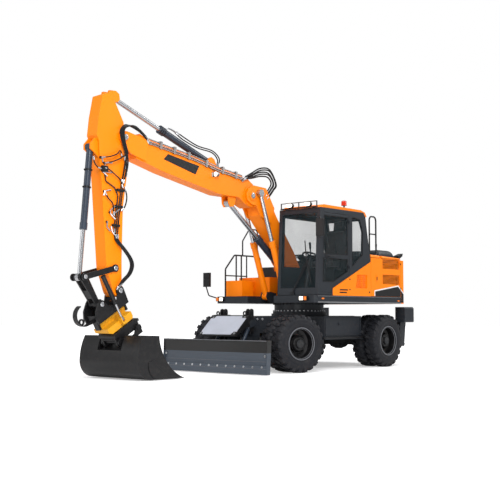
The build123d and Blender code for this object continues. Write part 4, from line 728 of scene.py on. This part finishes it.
piece("deck_lamp_lenses", lamps, LENS, "house")
piece("deck_amber_lenses", indicators, AMBER, "house")
bm = bmesh.new()
for y in (-0.80, 0.80):
    add_box(bm, at(-2.075, y - 0.08, 1.50), at(-2.030, y + 0.08, 1.58))
piece("rear_red_lenses", bm, RED, "house")
bm = bmesh.new()
ribs = []
for k in range(8):
    ribs += [(0.0535, 0.010 * k), (0.0555, 0.010 * k + 0.004)]
dome = [(0.050, 0.086), (0.036, 0.097), (0.012, 0.101)]
add_turned(bm, Matrix.Translation(at(-0.300, 0.900, ROOF_TOP + 0.152)), ribs + dome, 28)
piece("beacon_lens", bm, RED, "house")
bm = bmesh.new()
boom_lamp = frame_at(at(2.552, 0.123, 3.567), (1, 0, 0))
add_turned(bm, boom_lamp, [(0.040, 0.0), (0.041, 0.004), (0.030, 0.008), (0.005, 0.010)], 24)
piece("boom_lamp_lens", bm, LENS, "upper_boom")
bm = bmesh.new()
add_tube(bm, run_of([(2.500, 0.110, 3.580), (2.620, 0.100, 3.640), (2.760, 0.090, 3.720),
                     (2.900, 0.085, 3.765)]), 0.005, 6)
piece("boom_lamp_wire", bm, HOSE, "upper_boom")

# Mirrors: glass faces of the shells, toward the driver
bm = bmesh.new()
add_box(bm, at(1.3035, -1.338, 1.604), at(1.3055, -1.192, 1.856))
add_box(bm, at(0.9885, 1.228, 2.496), at(0.9905, 1.372, 2.784))
piece("mirror_faces", bm, MIRROR, "house", smooth=False)

# Windscreen wiper: three thin bars, the blade and the motor's cover
SCREEN_X = 1.000
SCREEN_FOOT_Z = 1.410
SCREEN_LEAN = 0.0463


def on_screen(y, z, lift):
    """Place in front of the leaning windscreen."""
    return at(SCREEN_X - SCREEN_LEAN * (z - SCREEN_FOOT_Z) + lift, y, z)


bm = bmesh.new()
for shift in (-0.030, 0.0, 0.030):
    add_tube(bm, [on_screen(0.965 + shift, 2.000, 0.024), on_screen(0.800 + shift * 0.6, 1.700, 0.026),
                  on_screen(0.640 + shift * 0.2, 1.440, 0.022)], 0.007, 6)
add_tube(bm, [on_screen(1.085, 1.620, 0.006), on_screen(0.965, 2.000, 0.012),
              on_screen(0.905, 2.420, 0.006)], 0.011, 6)
add_box(bm, on_screen(0.600, 1.410, -0.01), on_screen(0.690, 1.470, 0.030))
piece("wiper", bm, PLASTIC, "house")

# Seals round the door's and the cab's windows, and the door handle
DOOR_WINDOWS = (
    [(0.838, 2.170), (0.806, 2.895), (0.065, 2.895), (0.065, 2.170)],
    [(0.842, 2.095), (0.065, 2.095), (0.065, 1.860), (0.540, 1.650), (0.862, 1.650)],
)
QUARTER_WINDOW = [(-0.075, 2.925), (-0.340, 2.895), (-0.445, 2.650), (-0.425, 2.190), (-0.075, 1.960)]
RIGHT_WINDOW = [(0.850, 1.950), (0.812, 2.900), (-0.400, 2.900), (-0.520, 2.250), (-0.520, 1.950)]
SEAL_WIDTH = 0.018
bm = bmesh.new()
for window in DOOR_WINDOWS:
    add_frame_strip(bm, window, 1.2425, SEAL_WIDTH, 0.004)
piece("door_window_seals", bm, SEAL, "cab_door", smooth=False)
bm = bmesh.new()
add_frame_strip(bm, QUARTER_WINDOW, 1.2452, SEAL_WIDTH, 0.003)
add_frame_strip(bm, RIGHT_WINDOW, 0.2720, SEAL_WIDTH, -0.003)
piece("cab_window_seals", bm, SEAL, "house", smooth=False)
bm = bmesh.new()
add_tube(bm, run_of([(0.700, 1.240, 2.125), (0.690, 1.275, 2.125), (0.600, 1.280, 2.130),
                     (0.510, 1.275, 2.135), (0.500, 1.240, 2.135)], 5), 0.009, 8)
add_box(bm, at(0.735, 1.242, 2.105), at(0.790, 1.252, 2.160))
piece("door_handle", bm, PLASTIC, "cab_door")

# Blank name plates on the boom
PLATE_DEPTH = 0.003
NAME_PLATE = [(3.682, 3.792), (2.916, 3.673), (3.012, 3.514), (3.786, 3.690)]
bm = bmesh.new()
for hand in (1, -1):
    add_plate(bm, NAME_PLATE, BOOM_Y + hand * (BOOM_HALF + 0.0002), hand * PLATE_DEPTH)
piece("name_plates", bm, BLACK, "upper_boom", smooth=False)

# Blank badges with a white edge, split between the service doors and the counterweight
BADGE_Y = HOUSE_SIDE + 0.0003
EDGE_DEPTH = 0.004
BADGE = [(-0.850, 1.500), (-1.690, 1.612), (-1.790, 1.535), (-1.790, 1.407), (-0.865, 1.407)]
BADGE_LINE = [(-0.832, 1.407), (-0.832, 1.522), (-1.695, 1.637), (-1.790, 1.564), (-1.790, 1.535),
              (-1.690, 1.612), (-0.854, 1.500), (-0.854, 1.407)]
BADGE_END = [(-1.802, 1.527), (-1.893, 1.457), (-1.893, 1.286), (-1.802, 1.286)]
END_LINE = [(-1.802, 1.556), (-1.893, 1.486), (-1.893, 1.457), (-1.802, 1.527)]
LATCH_X = -0.916
badge_ends, end_lines = bmesh.new(), bmesh.new()
for hand, door in ((1, "service_door_left"), (-1, "service_door_right")):
    out = (0, hand, 0)
    add_plate(badge_ends, BADGE_END, hand * BADGE_Y, hand * PLATE_DEPTH)
    add_plate(end_lines, END_LINE, hand * BADGE_Y, hand * EDGE_DEPTH)
    bm = bmesh.new()
    add_plate(bm, BADGE_LINE, hand * BADGE_Y, hand * EDGE_DEPTH)
    piece("badge_line_" + door, bm, WHITE, door, smooth=False)
    bm = bmesh.new()
    add_plate(bm, BADGE, hand * BADGE_Y, hand * PLATE_DEPTH)
    piece("badge_" + door, bm, BLACK, door, smooth=False)
    bm = bmesh.new()
    latch = frame_at(at(LATCH_X, hand * (HOUSE_SIDE + 0.0002), 1.768), out, (1, 0, 0))
    add_stadium(bm, latch, 0.150, 0.056, 0.007)
    piece("latch_" + door, bm, ORANGE, door)
    bm = bmesh.new()
    grip = frame_at(at(LATCH_X, hand * (HOUSE_SIDE + 0.0070), 1.758), out, (1, 0, 0))
    add_stadium(bm, grip, 0.080, 0.026, 0.003)
    piece("latch_slot_" + door, bm, SEAL, door)
piece("badge_ends", badge_ends, BLACK, "house", smooth=False)
piece("badge_end_lines", end_lines, WHITE, "house", smooth=False)

# Slots and round locks in the left side panel
bm = bmesh.new()
for z, front, rear in ((1.512, 0.325, 0.070), (1.462, 0.335, 0.100)):
    add_box(bm, at(rear, HOUSE_SIDE + 0.0001, z - 0.012), at(front, HOUSE_SIDE + 0.0025, z + 0.012))
for x, z in ((-0.002, 1.717), (0.000, 1.522), (-0.660, 1.480)):
    lock = frame_at(at(x, HOUSE_SIDE, z), (0, 1, 0))
    add_turned(bm, lock, [(0.016, 0.0), (0.016, 0.004), (0.008, 0.006)], 16)
piece("panel_marks", bm, SEAL, "house", smooth=False)

# Raised rims along the hood's sides, as (x, rise) of their front and rear ends
RIM_ENDS = {
    "house": ((-0.728, 0.058), (-1.030, 0.050)),
    "engine_hood": ((-1.100, 0.048), (-1.788, 0.024)),
}
RIM_OUTER_R = 0.034


def rim_section(rise):
    """Section of a rim in (y, height) pairs, with a round outer edge."""
    bend = [(1.205 + RIM_OUTER_R * math.sin(a), rise - rise * 0.75 * (1 - math.cos(a)))
            for a in (0.0, 0.5, 1.0, 1.57)]
    return [(1.140, 0.0), (1.146, rise * 0.7), (1.170, rise)] + bend + [(1.239, 0.0)]


for body, rim_ends in RIM_ENDS.items():
    bm = bmesh.new()
    for hand in (1, -1):
        skin(bm, [[bm.verts.new(at(x, hand * y, HOOD_TOP + 0.0005 + z)) for y, z in rim_section(rise)]
                  for x, rise in rim_ends])
    piece("hood_rims_" + body, bm, ORANGE, body)

# The hood's rounded cowl, and the stub and flap at its corners
COWL_STEPS = 18
COWL_CENTRE = (-1.490, 0.860)
COWL_HALF = (0.290, 0.240)
COWL_HEIGHT = 0.188
bm = bmesh.new()
rows = []
for i in range(COWL_STEPS + 1):
    u = math.sin((2 * i / COWL_STEPS - 1) * math.pi / 2)
    row = []
    for j in range(COWL_STEPS + 1):
        v = math.sin((2 * j / COWL_STEPS - 1) * math.pi / 2)
        rise = COWL_HEIGHT * (1 - abs(u) ** 7) ** 0.33 * (1 - abs(v) ** 6) ** 0.4
        x, y = COWL_CENTRE[0] + COWL_HALF[0] * u, COWL_CENTRE[1] + COWL_HALF[1] * v
        row.append(bm.verts.new(at(x, y, HOOD_TOP + 0.0005 + rise)))
    rows.append(row)
add_grid(bm, rows)
bm.faces.new(edge_of(rows))
piece("hood_cowl", bm, CHARCOAL, "engine_hood")
bm = bmesh.new()
add_turned(bm, frame_at(at(-0.985, 1.185, HOOD_TOP + 0.001), (0, 0, 1)),
           [(0.024, 0.0), (0.022, 0.120), (0.016, 0.130), (0.016, 0.230), (0.020, 0.236),
            (0.020, 0.272), (0.010, 0.280)], 20)
piece("hood_stub", bm, BLACK, "house")
bm = bmesh.new()
add_plate(bm, [(-1.806, 2.151), (-1.806, 2.250), (-1.985, 2.306), (-1.962, 2.246), (-1.870, 2.200),
               (-1.862, 2.151)], 1.060, 0.120)
piece("rear_flap", bm, BLACK, "house", smooth=False)

# Pale panel with notched corners on the sloped front cover, and its bolts
SLOPE_HIGH = (2.006, 1.034)
SLOPE_LOW = (2.394, 0.678)
PANEL = [(2.030, -0.33), (2.030, 0.30), (2.070, 0.34), (2.070, 0.43), (2.330, 0.43), (2.330, 0.36),
         (2.385, 0.33), (2.385, -0.36), (2.340, -0.39), (2.340, -0.43), (2.075, -0.43), (2.075, -0.35)]


def on_slope(x, y, lift):
    """Place over the sloped cover's top face."""
    run, fall = SLOPE_LOW[0] - SLOPE_HIGH[0], SLOPE_HIGH[1] - SLOPE_LOW[1]
    z = SLOPE_HIGH[1] - (x - SLOPE_HIGH[0]) / run * fall
    return at(x + lift * fall, y, z + lift * run)


bm = bmesh.new()
add_prism(bm, PANEL, lambda x, y: on_slope(x, y, 0.0015), lambda x, y: on_slope(x, y, 0.014))
piece("cover_panel", bm, COVER, "chassis", smooth=False)
bm = bmesh.new()
for x, y in ((2.050, 0.38), (2.360, 0.40), (2.055, -0.39), (2.365, -0.41)):
    out = on_slope(x, y, 1.0) - on_slope(x, y, 0.0)
    add_bolt(bm, frame_at(on_slope(x, y, 0.001), out, (0, 1, 0)), 0.014, 0.014)
piece("cover_bolts", bm, STEEL, "chassis")

# Tall lugs on the frame's nose, over the blade cylinders' tails, and the frame's bolts
LUG_X, _ = pivot("blade_cylinder_swing")
LUG_FOOT = 0.700
LUG_TOP = 1.150
LUG_HALF = 0.050
LUG_THICK = 0.022
LUG_HOLE = 0.022


def add_lug_plate(bm, y):
    """Upright plate with a round top and two pin bosses."""
    centre_z = LUG_TOP - LUG_HALF
    outline = [(LUG_X - LUG_HALF, LUG_FOOT)]
    for k in range(13):
        a = math.pi * k / 12
        outline.append((LUG_X - LUG_HALF * math.cos(a), centre_z + LUG_HALF * math.sin(a)))
    outline.append((LUG_X + LUG_HALF, LUG_FOOT))
    add_plate(bm, outline, y, LUG_THICK)
    for z in (centre_z, LUG_TOP - 3.2 * LUG_HALF):
        boss = [(LUG_HOLE * 1.5, -0.008), (LUG_HOLE * 1.5, LUG_THICK + 0.008),
                (LUG_HOLE * 0.4, LUG_THICK + 0.009)]
        add_turned(bm, frame_at(at(LUG_X, y, z), (0, 1, 0)), boss, 20)


bm = bmesh.new()
for y in (0.268, 0.352):
    add_lug_plate(bm, y)
    add_lug_plate(bm, -y - LUG_THICK)
piece("blade_cylinder_lugs", bm, BLACK, "chassis")
bm = bmesh.new()
for hand in (1, -1):
    for x in (1.700, 1.560, 1.420):
        add_bolt(bm, frame_at(at(x, hand * 0.2555, 0.960), (0, hand, 0)), 0.016, 0.014)
piece("frame_bolts", bm, STEEL, "chassis")

# Swing bearing bolts, above and below, and painted highlights along the skirt's bevelled edges
RING_BOLTS = 40
bm = bmesh.new()
for a in angles(RING_BOLTS):
    add_bolt(bm, frame_at(at(*on_circle(0.505, a, 1.2645)), (0, 0, -1)), 0.014, 0.026)
piece("bearing_bolts_upper", bm, CAST, "house")
bm = bmesh.new()
for a in angles(RING_BOLTS, math.pi / RING_BOLTS):
    add_bolt(bm, frame_at(at(*on_circle(0.507, a, 1.1103)), (0, 0, 1)), 0.012, 0.022)
piece("bearing_bolts_lower", bm, STEEL, "chassis")
# Thin pale steel strips on both sides of the skirt: painted highlights where its bevelled edges catch the
# light
bm = bmesh.new()
for hand in (1, -1):
    skirt_y = hand * (HOUSE_SIDE + 0.0002)
    for low_z, high_z, depth in ((1.266, 1.284, 0.004), (1.384, 1.390, 0.003)):
        add_box(bm, at(-1.800, skirt_y, low_z), at(1.010, skirt_y + hand * depth, high_z))
piece("skirt_edge_highlights", bm, STEEL, "house", smooth=False)

# Side lockers of the frame: raised rims and knobs, and the step rails under them
LOCKER = [(-0.760, 0.640), (0.405, 0.640), (0.405, 0.985), (-0.760, 0.985)]
lockers, rails = bmesh.new(), bmesh.new()
for hand in (1, -1):
    locker_y = hand * (FRAME_SIDE + 0.0005)
    add_frame_strip(lockers, LOCKER, locker_y, 0.030, hand * 0.010)
    knob = frame_at(at(-0.035, locker_y, 0.865), (0, hand, 0))
    add_turned(lockers, knob, [(0.030, 0.0), (0.030, 0.006), (0.018, 0.008), (0.018, 0.020),
                               (0.012, 0.024)], 24)
    add_tube(rails, run_of([(-0.780, hand * 0.940, 0.600), (-0.740, hand * 0.985, 0.598),
                            (0.380, hand * 0.985, 0.598), (0.425, hand * 0.940, 0.600)]), 0.017, 10)
    for x in (-0.600, -0.180, 0.240):
        add_box(rails, at(x - 0.02, hand * 0.900, 0.590), at(x + 0.02, hand * 0.985, 0.606))
piece("locker_rims", lockers, FRAME_GREY, "chassis", smooth=False)
piece("step_rails", rails, BLACK, "chassis")

# Blade: bright top edge, two weld lines low on its face, and the bolt heads
BLADE_BOLTS = 12
BOLT_SPAN = 2.30
bm = bmesh.new()
add_box(bm, at(2.4802, -1.256, 0.586), at(2.4822, 1.256, 0.598))
for x, z in ((2.4502, 0.235), (2.4866, 0.115)):
    add_box(bm, at(x - 0.004, -1.250, z - 0.003), at(x + 0.0015, 1.250, z + 0.003))
piece("blade_lines", bm, RING, "blade", smooth=False)
bm = bmesh.new()
for i in range(BLADE_BOLTS):
    y = i * BOLT_SPAN / (BLADE_BOLTS - 1) - BOLT_SPAN / 2
    spot = frame_at(at(2.4812, y, 0.140), (1, 0, 0.2))
    add_turned(bm, spot, [(0.020, 0.0), (0.019, 0.006), (0.010, 0.008)], 16)
for y in (-1.215, 1.215):
    spot = frame_at(at(2.4705, y, 0.330), (1, 0, 0))
    add_turned(bm, spot, [(0.022, 0.0), (0.020, 0.008), (0.006, 0.010)], 20)
piece("blade_bolts", bm, STEEL, "blade")

# Pin heads on the boom and the arm, with three bolts each, and on the tool
PINS = [
    # body, joint on the pin, distance of the face from the boom's middle, radius
    ("upper_boom", "arm_swing", 0.1855, 0.048),
    ("lower_boom", "upper_boom_swing", 0.2035, 0.055),
    ("rockers", "rocker_swing", 0.1575, 0.040),
    ("bucket_link", "link_swing", 0.1595, 0.034),
]
TOOL_PINS = [
    # x in the tool frame, distance of the face from the tool's middle, radius
    (0.0, 0.1745, 0.040),
    (0.440, 0.1715, 0.038),
]
for body, joint, face, radius in PINS:
    x, z = pivot(joint)
    bm = bmesh.new()
    for hand in (1, -1):
        spot = frame_at(at(x, BOOM_Y + hand * face, z), (0, hand, 0))
        head = [(radius, 0.0), (radius, 0.008), (radius * 0.86, 0.012), (radius * 0.45, 0.012),
                (radius * 0.40, 0.008), (radius * 0.12, 0.008)]
        add_turned(bm, spot, head, 32)
        for a in angles(3, 0.5):
            add_bolt(bm, spot @ Matrix.Translation(on_circle(radius * 0.66, a, 0.0115)), 0.007, 0.006)
    piece("pin_heads_" + body, bm, STEEL, body)
bm = bmesh.new()
for hand in (1, -1):
    for x, face, radius in TOOL_PINS:
        spot = frame_at(tool(x, hand * face, 0.0), (0, hand, 0))
        add_turned(bm, spot, [(radius, 0.0), (radius, 0.007), (radius * 0.84, 0.011),
                              (radius * 0.2, 0.011)], 28)
piece("pin_heads_tool", bm, STEEL, "coupler")

# Seat pads, settled as cloth with pressure inside
PADS = [
    # name, centre, size, turn about y in degrees, crown
    ("seat_cushion", (0.000, 0.760, 2.092), (0.500, 0.480, 0.085), 0.0, 0.018),
    ("seat_back", (-0.262, 0.760, 2.400), (0.580, 0.470, 0.080), -77.0, 0.018),
    ("head_rest", (-0.352, 0.760, 2.785), (0.190, 0.250, 0.070), -83.0, 0.012),
]
PAD_STEPS = 14
SETTLE_FRAMES = 16
SETTLE_LIMIT = 0.010


def add_cushion(bm, centre, size, turn, crown):
    """Rounded pad with a crown in the middle and two soft seams."""
    matrix = Matrix.Translation(centre) @ Matrix.Rotation(math.radians(turn), 4, "Y")
    faces = []
    for side in (1, -1):
        rows = []
        for i in range(PAD_STEPS + 1):
            u = 2 * i / PAD_STEPS - 1
            row = []
            for j in range(PAD_STEPS + 1):
                v = 2 * j / PAD_STEPS - 1
                edge = (1 - abs(u) ** 4) * (1 - abs(v) ** 4)
                seam = 1.0 - 0.18 * math.exp(-((abs(v) - 0.62) / 0.05) ** 2)
                rise = size[2] / 2 * (0.35 + 0.65 * edge ** 0.5) * seam + crown * edge
                half = (1 - 0.04 * abs(u * v)) / 2
                place = Vector((u * size[0] * half, v * size[1] * half, side * rise))
                row.append(bm.verts.new(matrix @ place))
            rows.append(row)
        add_grid(bm, rows)
        faces.append(rows)
    join(bm, edge_of(faces[0]), edge_of(faces[1]))


def soften(obj):
    """Let a pad settle and wrinkle as cloth with pressure inside, then keep the result."""
    cloth = obj.modifiers.new("cloth", "CLOTH")
    cloth.settings.quality = 4
    cloth.settings.use_pressure = True
    cloth.settings.uniform_pressure_force = 4.0
    cloth.settings.effector_weights.gravity = 0.0
    cloth.settings.tension_stiffness = 25.0
    cloth.settings.bending_stiffness = 1.5
    cloth.point_cache.frame_start = 1
    cloth.point_cache.frame_end = SETTLE_FRAMES
    for number in range(1, SETTLE_FRAMES + 1):
        scene.frame_set(number)
    settled = obj.evaluated_get(bpy.context.evaluated_depsgraph_get()).data
    moved = [v.co.copy() for v in settled.vertices]
    obj.modifiers.remove(cloth)
    scene.frame_set(1)
    for vertex, new in zip(obj.data.vertices, moved):
        step = new - vertex.co
        if step.length > SETTLE_LIMIT:
            step = step.normalized() * SETTLE_LIMIT
        vertex.co += step


for name, centre, size, turn, crown in PADS:
    bm = bmesh.new()
    add_cushion(bm, at(*centre), size, turn, crown)
    pad = piece(name, bm, CLOTH, "house")
    soften(pad)
    rounding = pad.modifiers.new("soft", "SUBSURF")
    rounding.levels = 1
    rounding.render_levels = 1

# Lever grips, and the monitor on its post
bm = bmesh.new()
for y in (0.455, 1.065):
    add_turned(bm, frame_at(at(0.213, y, 2.320), (0.1, 0, 1), (0, 1, 0)),
               [(0.016, 0.0), (0.022, 0.030), (0.020, 0.080), (0.024, 0.110), (0.018, 0.130),
                (0.006, 0.136)], 18)
add_box(bm, at(0.640, 1.080, 1.900), at(0.665, 1.180, 2.080))
add_box(bm, at(0.655, 1.115, 1.500), at(0.675, 1.145, 1.900))
piece("lever_grips", bm, PLASTIC, "house")

# Camera at the photograph's place
CAMERA_PLACE = (14.818, 11.733, 1.051)
CAMERA_YAW = math.radians(41.334)
CAMERA_LIFT = math.radians(3.886)
FOCAL_LENGTH = 68.07
camera_data = bpy.data.cameras.new("camera")
camera_data.sensor_width = 36.0
camera_data.lens = FOCAL_LENGTH
camera_data.clip_end = 100.0
camera = add_object("camera", camera_data)
level = math.cos(CAMERA_LIFT)
aim = Vector((-math.cos(CAMERA_YAW) * level, -math.sin(CAMERA_YAW) * level, math.sin(CAMERA_LIFT)))
camera.location = at(*CAMERA_PLACE)
camera.rotation_euler = aim.to_track_quat("-Z", "Y").to_euler()
scene.camera = camera
scene.view_settings.view_transform = "Standard"

# Floor: shaded near the machine, and white to the camera farther out
PURE_WHITE = (1.0, 1.0, 1.0)
FLOOR_TONE = (0.80, 0.80, 0.81)
FLOOR_HALF = 60.0
NEAR_GLOW = 0.37
GLOW_START = 3.6
GLOW_FULL = 9.0
bm = bmesh.new()
bmesh.ops.create_grid(bm, x_segments=1, y_segments=1, size=FLOOR_HALF)
floor_material = bpy.data.materials.new("floor_white")
floor_material.use_nodes = True
tree = floor_material.node_tree
tree.nodes.remove(tree.nodes["Principled BSDF"])
reach = add_node(tree, "VectorMath", {0: object_place(tree)})
reach.operation = "LENGTH"
far = ramp(tree, reach.outputs["Value"], GLOW_START, GLOW_FULL, NEAR_GLOW, 1.0)
seen = add_node(tree, "LightPath", {}).outputs["Is Camera Ray"]
diffuse = add_node(tree, "BsdfDiffuse", {"Color": opaque(FLOOR_TONE)})
glow = add_node(tree, "Emission", {"Color": opaque(PURE_WHITE), "Strength": product(tree, seen, far)})
both = add_node(tree, "AddShader", {0: diffuse.outputs["BSDF"], 1: glow.outputs["Emission"]})
wire(tree, tree.nodes["Material Output"], {"Surface": both.outputs["Shader"]})
floor = mesh_object("floor", bm, floor_material, smooth=False)

# World: white to the camera, dimmer as a light
WORLD_LIGHT = 0.46
world = bpy.data.worlds.new("studio")
world.use_nodes = True
scene.world = world
tree = world.node_tree
seen = add_node(tree, "LightPath", {}).outputs["Is Camera Ray"]
wire(tree, tree.nodes["Background"], {"Color": opaque(PURE_WHITE),
                                      "Strength": ramp(tree, seen, 0.0, 1.0, WORLD_LIGHT, 1.0)})

# Studio lights
LIGHTS = [
    # name, place, aim, size, power
    ("key", (9.0, 9.5, 9.0), (0.5, 0.0, 1.2), 5.0, 1350.0),
    ("fill", (12.0, -5.0, 5.0), (0.5, 0.0, 1.2), 6.0, 260.0),
    ("back", (-8.0, 5.0, 8.0), (-1.0, 0.0, 1.5), 5.0, 420.0),
    ("top", (0.0, 0.0, 12.0), (0.0, 0.0, 0.0), 9.0, 650.0),
    ("low", (4.6, 3.4, 0.3), (0.9, -0.1, 3.7), 3.0, 110.0),
]
for name, place, target, size, power in LIGHTS:
    data = bpy.data.lights.new(name, "AREA")
    data.size = size
    data.energy = power
    lamp = add_object(name, data)
    lamp.location = place
    lamp.rotation_euler = (Vector(target) - Vector(place)).to_track_quat("-Z", "Y").to_euler()

bpy.context.view_layer.update()
